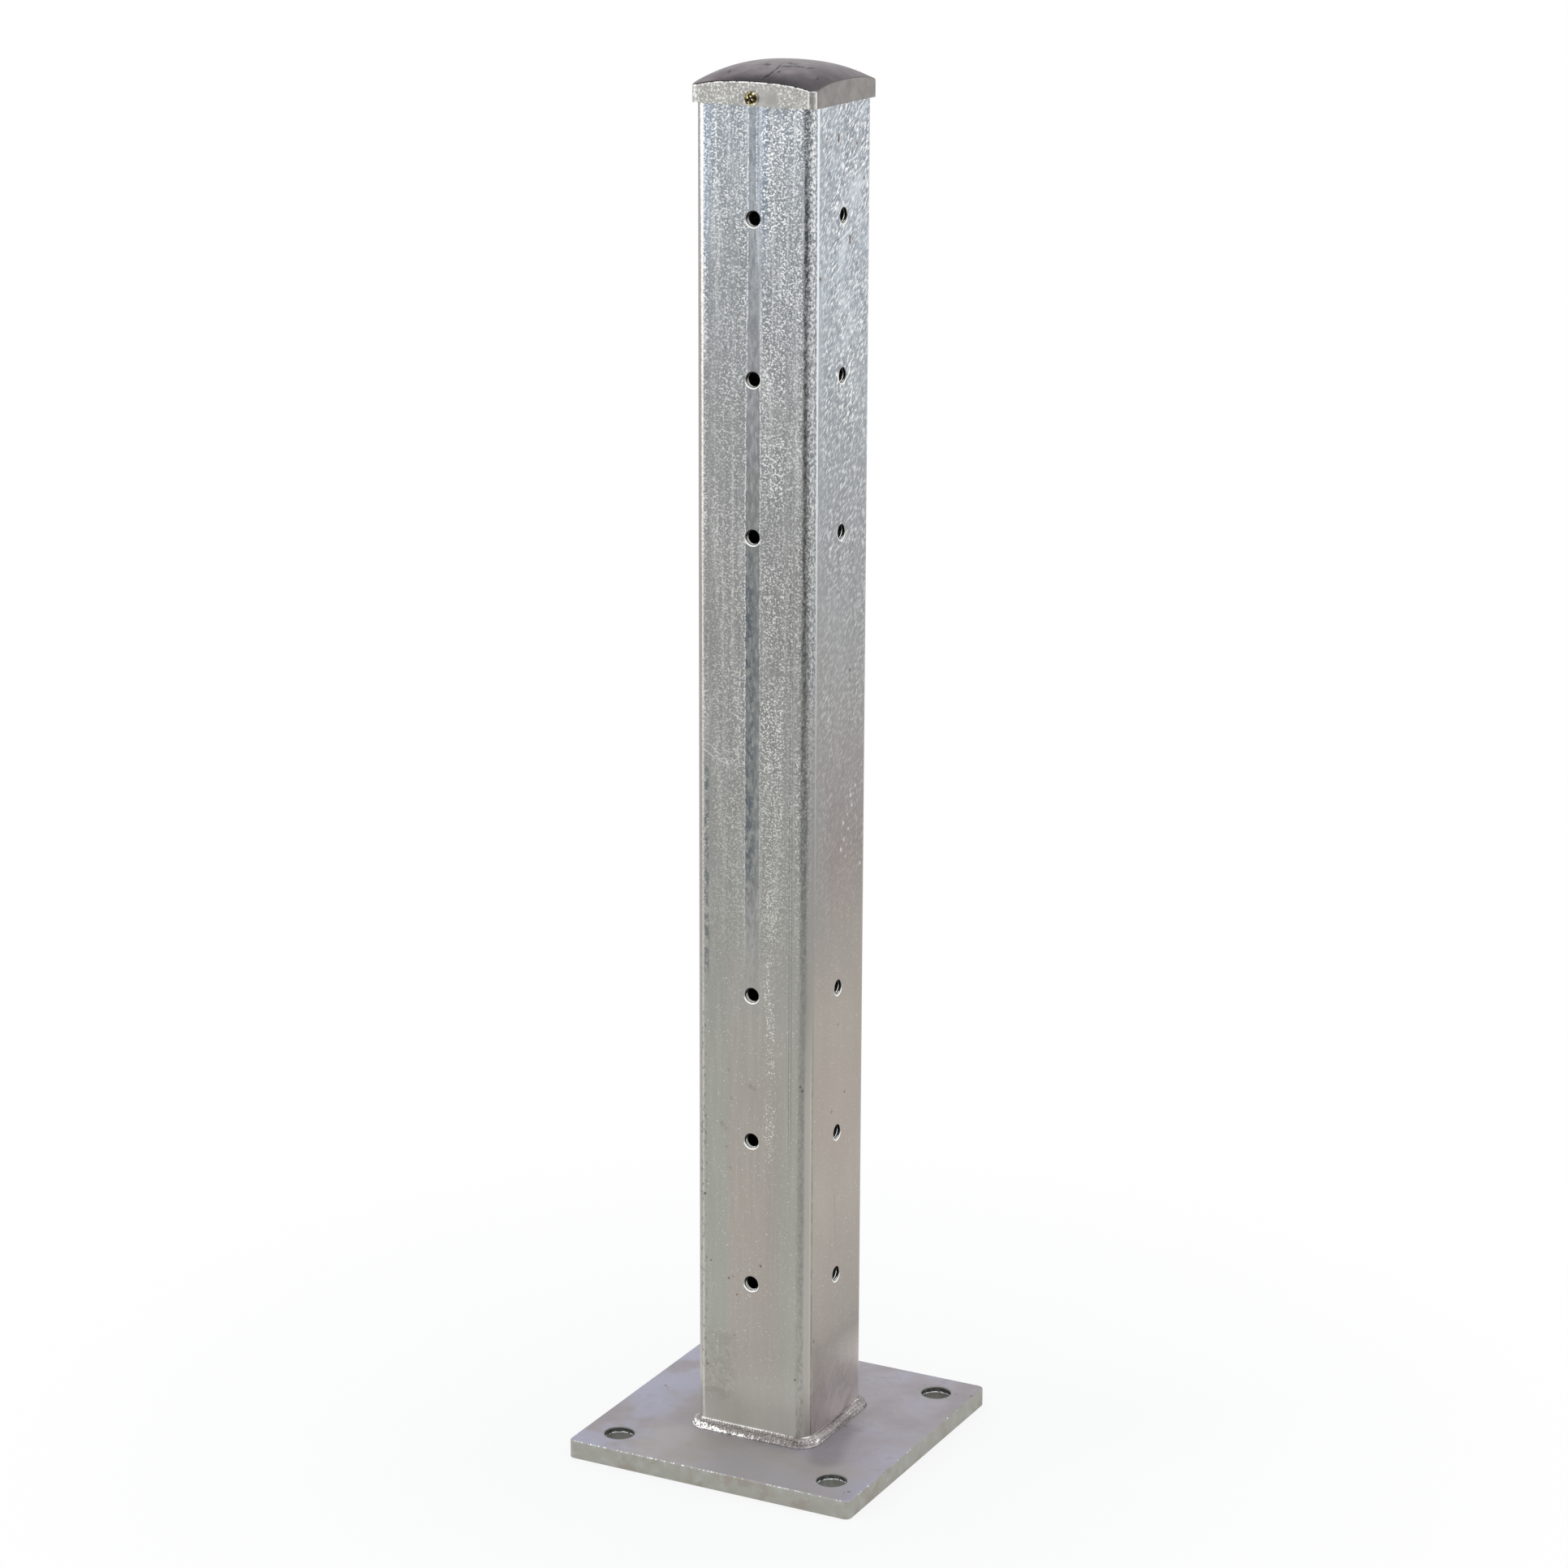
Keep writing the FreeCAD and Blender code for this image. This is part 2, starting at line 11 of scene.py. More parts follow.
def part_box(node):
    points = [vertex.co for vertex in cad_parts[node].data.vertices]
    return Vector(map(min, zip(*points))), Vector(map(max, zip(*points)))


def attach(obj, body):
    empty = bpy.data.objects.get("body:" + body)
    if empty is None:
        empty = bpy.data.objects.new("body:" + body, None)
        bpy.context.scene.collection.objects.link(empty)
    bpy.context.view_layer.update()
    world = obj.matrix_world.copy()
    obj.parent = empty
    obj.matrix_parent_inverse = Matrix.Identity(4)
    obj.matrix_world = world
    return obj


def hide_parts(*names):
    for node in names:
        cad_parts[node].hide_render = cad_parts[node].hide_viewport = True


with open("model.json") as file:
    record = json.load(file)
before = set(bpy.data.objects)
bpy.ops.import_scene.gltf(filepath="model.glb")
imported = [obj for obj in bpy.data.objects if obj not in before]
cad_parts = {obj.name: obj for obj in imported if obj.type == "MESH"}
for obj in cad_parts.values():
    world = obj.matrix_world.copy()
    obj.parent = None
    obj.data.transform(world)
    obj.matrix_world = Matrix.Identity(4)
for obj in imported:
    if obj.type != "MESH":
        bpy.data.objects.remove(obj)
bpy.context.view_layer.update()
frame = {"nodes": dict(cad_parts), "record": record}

MM = 0.001
UP = Vector((0, 0, 1))
BODY = "root"

# The photograph's camera: place, turn about Z from -Y, rise above level, tilt, focal length
CAMERA_PLACE = Vector((1.44549, -2.79230, 1.41789))
CAMERA_TURN = 27.340
CAMERA_RISE = 15.546
CAMERA_TILT = 0.220
CAMERA_LENS = 96.552
CAMERA_SENSOR = 36.0

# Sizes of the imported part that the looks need, from its boxes and else as the part's source has them
PLATE_HALF, _, PLATE_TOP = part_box("base_plate")[1]
TUBE_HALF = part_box("post_tube")[1].x
CAP_HALF, _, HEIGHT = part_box("post_cap")[1]
SCREW_LOW, SCREW_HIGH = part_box("cap_screw")
SCREW_LEVEL = (SCREW_LOW.z + SCREW_HIGH.z) / 2
TUBE_CORNER = 10 * MM
TUBE_WALL = 5 * MM
CAP_CORNER = 6 * MM
LAND_DEPTH = 4.6 * MM
WELD_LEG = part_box("weld_front")[1].z - PLATE_TOP
WELD_BULGE = 0.8 * MM

# Holes, from the record's bolt patterns, and the coarse thread in the tapped ones
MOUNTS = {mount["name"]: mount for mount in frame["record"]["mounts"]}
ANCHORS = MOUNTS["anchor_holes"]["dims"]
ANCHOR_HALF_SPAN = ANCHORS["spacing_x_mm"] * MM / 2
ANCHOR_RADIUS = ANCHORS["hole_r_mm"] * MM
HOLE_PITCH = MOUNTS["rail_holes_front_lower"]["dims"]["spacing_y_mm"] * MM / 2
HOLE_RADIUS = MOUNTS["rail_holes_front_lower"]["dims"]["hole_r_mm"] * MM
LOWEST_HOLE = MOUNTS["rail_holes_front_lower"]["pos_m"][2] - HOLE_PITCH
LOWEST_UPPER_HOLE = MOUNTS["rail_holes_front_upper"]["pos_m"][2] - HOLE_PITCH
MOUTH_DEPTH = 0.5 * MM
THREAD_PITCH = 1.75 * MM
THREAD_DEPTH = 0.9 * MM

# The studio's unlit side, where the camera stands: it shows only in reflections
DARK_SIDE_TURN = 27
DARK_SIDE_DEPTH = 0.6


def colour(red, green, blue):
    """A display colour, 0 to 255, as the linear colour that a shader takes."""
    def linear(value):
        share = value / 255
        return share / 12.92 if share <= 0.04045 else ((share + 0.055) / 1.055) ** 2.4
    return (linear(red), linear(green), linear(blue), 1.0)


class Graph:
    """Short methods for the nodes of one shader tree."""

    def __init__(self, tree):
        self.tree = tree

    def node(self, kind, **settings):
        made = self.tree.nodes.new("ShaderNode" + kind)
        for name, value in settings.items():
            setattr(made, name, value)
        return made

    def feed(self, socket, value):
        """Link an output to a socket, or set the socket's own value."""
        if isinstance(value, bpy.types.NodeSocket):
            self.tree.links.new(value, socket)
        else:
            socket.default_value = value

    def node_from(self, kind, *values, **settings):
        """A node whose first inputs take the values in turn."""
        made = self.node(kind, **settings)
        for socket, value in zip(made.inputs, values):
            self.feed(socket, value)
        return made

    def parts(self, vector):
        """The X, Y and Z of a vector."""
        return tuple(self.node_from("SeparateXYZ", vector).outputs)

    def math(self, operation, *values):
        return self.node_from("Math", *values, operation=operation).outputs[0]

    def plus(self, first, second):
        return self.math("ADD", first, second)

    def minus(self, first, second):
        return self.math("SUBTRACT", first, second)

    def scaled(self, value, factor, offset):
        return self.math("MULTIPLY_ADD", value, factor, offset)

    def root_of_squares(self, first, second):
        return self.math("SQRT", self.plus(self.all_of(first, first), self.all_of(second, second)))

    def vector(self, operation, first, second=(0, 0, 0)):
        made = self.node("VectorMath", operation=operation)
        self.feed(made.inputs[0], first)
        self.feed(made.inputs[1], second)
        return made.outputs["Value" if operation in ("LENGTH", "DOT_PRODUCT", "DISTANCE") else "Vector"]

    def step(self, value, low, high):
        """0 below low, 1 above high, smooth between. low may be the larger number, to fall instead."""
        made = self.node("MapRange", interpolation_type="SMOOTHSTEP")
        self.feed(made.inputs["Value"], value)
        ends = (low, high, 0.0, 1.0)
        if isinstance(low, (int, float)) and isinstance(high, (int, float)) and low > high:
            ends = (high, low, 1.0, 0.0)
        for name, end in zip(("From Min", "From Max", "To Min", "To Max"), ends):
            self.feed(made.inputs[name], end)
        return made.outputs["Result"]

    def band(self, value, low, high, soft):
        """1 between low and high, falling to 0 over soft outside them."""
        return self.all_of(self.step(value, low - soft, low), self.step(value, high + soft, high))

    def all_of(self, *masks):
        product = masks[0]
        for mask in masks[1:]:
            product = self.math("MULTIPLY", product, mask)
        return product

    def any_of(self, *masks):
        found = masks[0]
        for mask in masks[1:]:
            found = self.math("MAXIMUM", found, mask)
        return found

    def none_of(self, mask):
        return self.minus(1.0, mask)

    def ramp(self, value, stops):
        """A run of display colours or grey levels by value. A stop is (position, colour or level)."""
        made = self.node("ValToRGB")
        self.feed(made.inputs["Fac"], value)
        elements = made.color_ramp.elements
        while len(elements) < len(stops):
            elements.new(1.0)
        for element, (position, shade) in zip(elements, stops):
            element.position = position
            element.color = colour(*shade) if isinstance(shade, tuple) else (shade, shade, shade, 1.0)
        return made.outputs["Color"]

    def mix(self, mask, first, second, blend="MIX"):
        """The first colour where the mask is 0, the second where it is 1, at the node's inputs 6 and 7."""
        made = self.node("Mix", data_type="RGBA", blend_type=blend)
        self.feed(made.inputs[0], mask)
        self.feed(made.inputs[6], first)
        self.feed(made.inputs[7], second)
        return made.outputs[2]


class Finish(Graph):
    """One metal finish: a Principled shader and the patterns that feed it.

    Lengths are in millimetres, but place is the object's own, in metres.
    """

    def __init__(self, name, roughness, metallic=1.0):
        self.material = bpy.data.materials.new(name)
        self.material.use_nodes = True
        super().__init__(self.material.node_tree)
        self.base = (0.5, 0.5, 0.5, 1.0)
        self.shader = self.tree.nodes["Principled BSDF"]
        self.shader.inputs["Metallic"].default_value = metallic
        self.shader.inputs["Roughness"].default_value = roughness
        coordinates = self.node("TexCoord")
        self.place = coordinates.outputs["Object"]
        self.x, self.y, self.z = self.parts(self.vector("MULTIPLY", self.place, [1 / MM] * 3))
        self.facing_x, self.facing_y, self.facing_z = self.parts(coordinates.outputs["Normal"])

    def stretched(self, x, y, z):
        """The place with each axis multiplied, to lengthen or shorten a pattern along it."""
        return self.vector("MULTIPLY", self.place, (x, y, z))

    def slanted(self, degrees, along):
        """The place turned about X and drawn out, for a pattern of slanting dashes on the right face."""
        turned = self.node("VectorRotate", rotation_type="X_AXIS")
        self.feed(turned.inputs["Vector"], self.place)
        turned.inputs["Angle"].default_value = math.radians(degrees)
        return self.vector("MULTIPLY", turned.outputs["Vector"], (1, along, 1))

    def noise(self, size, detail=2.0, roughness=0.5, place=None, distortion=0.0, tall=1.0):
        """Cloudy noise, 0 to 1 about 0.5. Its clouds are about size wide, and taller if tall is below 1."""
        made = self.node("TexNoise")
        self.feed(made.inputs["Vector"], self.stretched(1, 1, tall) if place is None else place)
        values = (1 / (size * MM), detail, roughness, distortion)
        for name, value in zip(("Scale", "Detail", "Roughness", "Distortion"), values):
            self.feed(made.inputs[name], value)
        return made.outputs["Fac"]

    def speckle(self, density, size, soft=0.1):
        """Scattered blots about size wide. density, 0 to 1, is the share that they take."""
        grain = self.noise(size, detail=1.5, roughness=0.65, distortion=0.3)
        threshold = self.scaled(density, -0.26, 0.68)
        return self.step(grain, threshold, self.plus(threshold, soft))

    def frosting(self, density, size, place):
        """Masks of the lit grains of rough zinc, for painted highlights, and of the grains in shade, for
        painted shade, as strong as its density, 0 to 1.
        """
        grain = self.noise(size, roughness=0.6, place=place)
        lit = self.step(grain, 0.53, 0.61)
        in_shade = self.step(grain, 0.48, 0.38)
        return self.all_of(lit, density), self.all_of(in_shade, density)

    def coat(self, shade, *masks):
        """Lay a display colour, or the output of a node, over the base as far as all the masks let it."""
        laid = colour(*shade) if isinstance(shade, tuple) else shade
        self.base = self.mix(self.all_of(*masks), self.base, laid)

    def near(self, spots):
        """Mask of soft round spots. A spot is x, y, z and a radius."""
        found = []
        for *centre, radius in spots:
            away = self.vector("DISTANCE", self.place, tuple(Vector(centre) * MM))
            found.append(self.step(away, radius * MM, radius * 0.3 * MM))
        return self.any_of(*found)

    def stroke(self, points, width, wander=0.0, size=4.0, squash=(1, 1, 1)):
        """Mask of a line that may wander. squash thickens it along an axis."""
        place = self.vector("MULTIPLY", self.place, squash)
        points = [Vector(point) * MM * Vector(squash) for point in points]
        if wander:
            made = self.node("TexNoise")
            self.feed(made.inputs["Vector"], self.place)
            self.feed(made.inputs["Scale"], 1 / (size * MM))
            centred = self.vector("SUBTRACT", made.outputs["Color"], (0.5, 0.5, 0.5))
            shift = self.vector("MULTIPLY", centred, [wander * MM] * 3)
            place = self.vector("ADD", place, shift)
        runs = []
        for start, end in zip(points, points[1:]):
            run = end - start
            offset = self.vector("SUBTRACT", place, tuple(start))
            along = self.vector("DOT_PRODUCT", offset, tuple(run / run.length_squared))
            share = self.node_from("Clamp", along).outputs[0]
            foot = self.node("VectorMath", operation="SCALE")
            foot.inputs[0].default_value = tuple(run)
            self.feed(foot.inputs["Scale"], share)
            away = self.vector("DISTANCE", offset, foot.outputs["Vector"])
            runs.append(self.step(away, width * MM, width * 0.3 * MM))
        return self.any_of(*runs)

    def finish(self, height=None, strength=0.0, depth=0.3, roughness=None):
        """Feed the shader with the base colour, a relief and a roughness."""
        self.feed(self.shader.inputs["Base Color"], self.base)
        if roughness is not None:
            self.feed(self.shader.inputs["Roughness"], roughness)
        if height is not None:
            bump = self.node("Bump")
            bump.inputs["Strength"].default_value = strength
            bump.inputs["Distance"].default_value = depth * MM
            self.feed(bump.inputs["Height"], height)
            self.feed(self.shader.inputs["Normal"], bump.outputs["Normal"])
        return self.material


def above_hole(skin):
    """The height above the nearest tapped hole's centre, and a mask of the two rows of holes."""
    pitch = HOLE_PITCH / MM
    levels = []
    masks = []
    for lowest in (LOWEST_HOLE, LOWEST_UPPER_HOLE):
        above = skin.minus(skin.z, lowest / MM - pitch / 2)
        masks.append(skin.band(above, 0, 3 * pitch, 1))
        levels.append(skin.minus(skin.math("MODULO", above, pitch), pitch / 2))
    between = LOWEST_UPPER_HOLE / MM - pitch
    upper = skin.step(skin.z, between, between + 1)
    difference = skin.minus(levels[1], levels[0])
    return skin.scaled(upper, difference, levels[0]), skin.any_of(*masks)


def hole_rims(skin):
    """The mouths and walls of the tapped holes: painted light on the lower side, painted shade on the upper
    one.
    """
    level, in_group = above_hole(skin)
    lower = skin.step(level, 0.5, -3.5)
    inner = TUBE_HALF / MM - 7
    for across, depth in ((skin.x, skin.all_of(skin.y, -1)), (skin.y, skin.x)):
        on_outer = skin.step(depth, inner, inner + 1)
        away = skin.minus(skin.root_of_squares(across, level), HOLE_RADIUS / MM)
        beyond = skin.minus(away, skin.all_of(lower, 0.5))
        ring = skin.all_of(skin.step(away, -0.4, -0.1), skin.step(beyond, 0.7, 0.5))
        # A painted highlight on the mouth's lower side, duller on its upper side
        tone = skin.mix(lower, colour(168, 164, 158), colour(255, 255, 252))
        skin.coat(tone, ring, in_group, on_outer, skin.scaled(lower, 0.5, 0.5))
        # Painted light on the lower wall and painted shade on the upper wall
        tone = skin.mix(lower, colour(58, 56, 54), colour(214, 212, 208))
        skin.coat(tone, skin.step(away, 0.06, 0.02), in_group, on_outer)


def tube_finish():
    """Hot-dip zinc on the tube: dense painted glints and grain shade above, smoother and warmer below."""
    skin = Finish("galvanised_tube_skin", roughness=0.38)
    step, band, all_of, noise = skin.step, skin.band, skin.all_of, skin.noise
    x, y, z = skin.x, skin.y, skin.z
    share = skin.math("DIVIDE", z, HEIGHT / MM)
    to_right = step(skin.facing_x, 0.8, 0.98)
    on_front = step(skin.facing_y, -0.97, -0.998)
    on_right = step(skin.facing_x, 0.97, 0.998)

    # Tone by height, partly the zinc's own and partly painted reflection: cool and brighter at the top,
    # warm below, and a bright painted reflection of the plate at the foot
    front_shades = skin.ramp(share, [
        (0.013, (236, 234, 226)), (0.035, (210, 208, 200)), (0.08, (178, 176, 169)), (0.2, (167, 165, 158)),
        (0.33, (164, 163, 157)), (0.45, (156, 156, 152)), (0.6, (152, 152, 150)), (0.75, (157, 158, 157)),
        (0.87, (162, 166, 169)), (0.97, (167, 174, 181)),
    ])
    right_shades = skin.ramp(share, [
        (0.013, (252, 244, 240)), (0.035, (222, 214, 210)), (0.06, (194, 186, 182)),
        (0.082, (158, 151, 146)), (0.1, (166, 158, 151)), (0.2, (177, 170, 161)),
        (0.33, (172, 165, 156)), (0.45, (150, 141, 138)), (0.57, (157, 156, 156)),
        (0.7, (164, 167, 170)), (0.85, (180, 188, 196)), (0.97, (182, 189, 197)),
    ])
    skin.base = skin.mix(to_right, front_shades, right_shades)
    skin.coat((154, 154, 151), to_right, step(y, -12, -28), band(share, 0.42, 0.6, 0.06), 0.5)
    # Painted cool reflection in columns at the top of the front
    blue = skin.any_of(band(x, -44, -36, 3), band(x, 6, 10, 3))
    skin.coat((160, 176, 198), blue, on_front, step(share, 0.8, 0.95), 0.5)
    clouds = noise(34, detail=3, tall=0.3)
    skin.base = skin.mix(0.5, skin.base, skin.ramp(clouds, [(0.3, 0.82), (0.7, 1.0)]), blend="MULTIPLY")
    warm = step(noise(70, tall=0.6), 0.46, 0.62)
    skin.coat((168, 156, 148), warm, step(share, 0.5, 0.36), to_right, 0.4)
    across = skin.scaled(x, 0.5 * MM / TUBE_HALF, 0.5)
    tints = skin.ramp(across, [
        (0.08, (161, 165, 156)), (0.26, (165, 167, 158)), (0.33, (173, 164, 156)),
        (0.55, (170, 161, 153)), (0.66, (164, 155, 147)), (0.84, (165, 165, 157)),
    ])
    skin.coat(tints, step(share, 0.42, 0.2), step(share, 0.03, 0.08), on_front, 0.6)

    columns = skin.ramp(across, [
        (0.06, 0.9), (0.12, 0.6), (0.135, 0.2), (0.155, 0.5), (0.30, 0.6), (0.42, 0.7), (0.439, 0.95),
        (0.449, 0.12), (0.56, 0.12), (0.58, 0.9), (0.62, 1.0), (0.76, 0.95), (0.79, 0.4), (0.825, 0.95),
        (0.845, 0.6), (0.858, 0.15), (0.868, 0.7), (0.90, 0.95),
    ])
    columns = skin.mix(on_front, (0.6, 0.6, 0.6, 1.0), columns)
    columns = skin.math("POWER", columns, skin.ramp(share, [(0.78, 1.0), (0.95, 0.35)]))
    # Colours of the painted glints and of the painted shade between them
    gleam = skin.ramp(share, [(0.3, (224, 222, 214)), (0.6, (242, 244, 242)), (0.95, (255, 255, 255))])
    grain_shade_tone = skin.ramp(share, [(0.3, (126, 124, 118)), (0.6, (106, 107, 107)), (0.95, (112, 120, 128))])
    # Vertical streaks of painted shade and painted highlight along the grain
    lining = noise(3.4, detail=3, roughness=0.7, place=skin.stretched(1, 0.45, 0.045))
    lined = skin.ramp(share, [(0.1, 0.04), (0.35, 0.06), (0.6, 0.14), (0.8, 0.22), (0.95, 0.3)])
    lined = all_of(lined, skin.scaled(to_right, -0.75, 1.0))
    skin.coat(grain_shade_tone, step(lining, 0.52, 0.36), lined)
    skin.coat(gleam, step(lining, 0.5, 0.66), lined)
    height_density = skin.ramp(share, [
        (0.1, 0.02), (0.34, 0.06), (0.42, 0.42), (0.5, 0.64), (0.75, 0.7), (0.86, 0.94), (0.96, 1.0),
    ])
    streaks = noise(8, detail=3, tall=0.09)
    patches = noise(20, tall=0.5)
    unevenness = step(skin.plus(streaks, patches), 0.78, 1.22)
    density = all_of(height_density, columns, skin.scaled(unevenness, 0.55, 0.65))
    trail_place = skin.minus(x, all_of(streaks, 8))
    trail = all_of(
        band(trail_place, 9.5, 14.5, 4), on_front, band(z, 270, 470, 40),
        step(patches, 0.3, 0.5),
    )
    density = skin.any_of(density, all_of(trail, 0.12))
    drops = skin.speckle(skin.scaled(trail, 0.4, 0.03), 1.15, soft=0.05)

    # Painted glints on the lit grains and painted shade on the others, on the front and the right
    front_lit, front_grain_dark = skin.frosting(density, 1.6, skin.stretched(1, 1, 1.1))
    rough_side = skin.scaled(step(y, -42, -22), 0.6, 0.4)
    dashed = skin.ramp(share, [(0.34, 0.0), (0.5, 0.25), (0.62, 0.35), (0.78, 0.85), (0.96, 1.0)])
    right_density = all_of(dashed, skin.scaled(unevenness, 0.6, 0.55), rough_side)
    right_lit, right_grain_dark = skin.frosting(right_density, 1.8, skin.slanted(-42, 0.38))
    glints = skin.mix(to_right, front_lit, right_lit)
    grain_shade_mask = skin.mix(to_right, front_grain_dark, right_grain_dark)
    skin.coat(grain_shade_tone, grain_shade_mask, 0.65)
    skin.coat(gleam, glints)
    skin.coat((240, 240, 234), drops, step(share, 0.5, 0.4), skin.any_of(on_front, on_right), 0.7)
    drawn = skin.any_of(band(x, 32.4, 32.8, 0.3), band(x, 34.6, 34.9, 0.3))
    skin.coat((104, 104, 100), drawn, on_front, band(z, 300, 750, 100), 0.4)
    # Painted highlight patches high on the right face
    blaze = all_of(
        on_right, step(noise(20, detail=3, place=skin.slanted(-30, 0.5)), 0.5, 0.68),
        step(share, 0.72, 0.9), step(y, -30, 0),
    )
    skin.coat((226, 233, 239), blaze, 0.6)

    stain = all_of(
        on_front, band(x, -42, -18, 8), band(z, 50, 90, 20),
        step(noise(7, detail=5, roughness=0.75, distortion=1.0), 0.42, 0.6),
    )
    skin.coat((140, 128, 116), stain, 0.3)
    wisps = noise(9, detail=5, roughness=0.7, place=skin.slanted(-55, 0.45), distortion=0.8)
    foot = all_of(to_right, step(z, 150, 70), step(wisps, 0.42, 0.62), step(y, 48, 20))
    skin.coat((144, 138, 132), foot, 0.3)
    skin.coat((214, 208, 200), foot, step(wisps, 0.6, 0.66), 0.4)
    seam_band(skin, on_front, share)
    front_corner_reflection(skin, share)
    left_corner(skin, share)
    tube_marks(skin)
    hole_rims(skin)

    relief = skin.plus(all_of(glints, 0.6), all_of(clouds, 0.6))
    peel = noise(2.6, place=skin.slanted(-40, 0.6))
    peeling = skin.scaled(all_of(on_right, step(share, 0.6, 0.85)), 0.9, 0.15)
    relief = skin.plus(relief, all_of(peel, peeling))
    roughness = skin.scaled(glints, -0.1, 0.38)
    return skin.finish(relief, strength=0.35, depth=0.35, roughness=roughness)


def seam_band(skin, on_front, share):
    """The smooth strip of the tube's own weld seam, darker partly in its own tone and partly by painted
    reflection, edged with bright beads of zinc that carry painted highlights.
    """
    step, band, all_of, noise = skin.step, skin.band, skin.all_of, skin.noise
    x, z = skin.x, skin.z
    waves = noise(6, detail=4, roughness=0.7, place=skin.stretched(0.2, 0.2, 1))
    wander = skin.scaled(waves, 3.2, -1.6)
    ragged = skin.plus(x, wander)
    high = step(share, 0.7, 0.9)
    left_edge = skin.scaled(high, 2, -5.8)
    inside_left = step(skin.minus(ragged, left_edge), -0.5, 0.5)
    right_edge = skin.scaled(high, -2.6, 6.4)
    inside_right = step(skin.minus(ragged, right_edge), 0.6, -0.6)
    reach = step(z, 360, 470)
    strip = all_of(inside_left, inside_right, on_front, reach)
    # The strip's darker tone: partly its smoother zinc, partly painted reflection
    tone = skin.ramp(share, [
        (0.38, (152, 152, 149)), (0.48, (136, 137, 135)), (0.62, (126, 127, 126)),
        (0.7, (129, 130, 130)), (0.8, (141, 142, 147)), (0.93, (139, 147, 156)),
    ])
    cover = skin.ramp(share, [(0.45, 0.75), (0.75, 0.7), (0.95, 0.6)])
    skin.coat(tone, strip, cover)
    grained = noise(2.2, detail=3, roughness=0.7, tall=0.3)
    skin.coat((194, 197, 198), strip, step(grained, 0.5, 0.62), 0.3)
    skin.coat((104, 107, 109), strip, step(grained, 0.5, 0.38), 0.3)
    mottles = step(noise(5, detail=5, roughness=0.72, tall=0.55), 0.45, 0.56)
    middle = band(z, 500, 700, 70)
    leftward = skin.scaled(step(x, 5, -2), 0.75, 0.25)
    skin.coat((100, 106, 110), strip, middle, leftward, 0.15)
    skin.coat((88, 96, 104), strip, mottles, middle, leftward, 0.8)
    beside = all_of(band(x, -43, -39, 3), band(z, 410, 560, 40), on_front)
    skin.coat((92, 100, 106), beside, mottles, 0.7)
    # Painted highlights on the beads along the strip's edges
    left_line = band(skin.minus(ragged, left_edge), -0.5, 0.1, 0.35)
    right_line = all_of(band(ragged, 6.3, 6.9, 0.35), step(share, 0.88, 0.78))
    inner_line = all_of(band(ragged, 2.8, 3.3, 0.4), step(share, 0.84, 0.93))
    beads = step(noise(1.6), 0.4, 0.55)
    lines = all_of(skin.any_of(left_line, right_line, inner_line), on_front, reach, beads)
    bright = skin.ramp(share, [(0.4, 0.2), (0.6, 0.5), (0.9, 0.95)])
    skin.coat((238, 243, 246), lines, bright)


def corner_turn(skin, side, half, radius):
    """Degrees round a corner: 0 on the front face, 90 on the next. side is 1 at the right, else -1."""
    centre = (half - radius) / MM
    outward = skin.minus(skin.all_of(skin.x, side), centre)
    forward = skin.minus(-centre, skin.y)
    return skin.all_of(skin.math("ARCTAN2", outward, forward), 180 / math.pi)


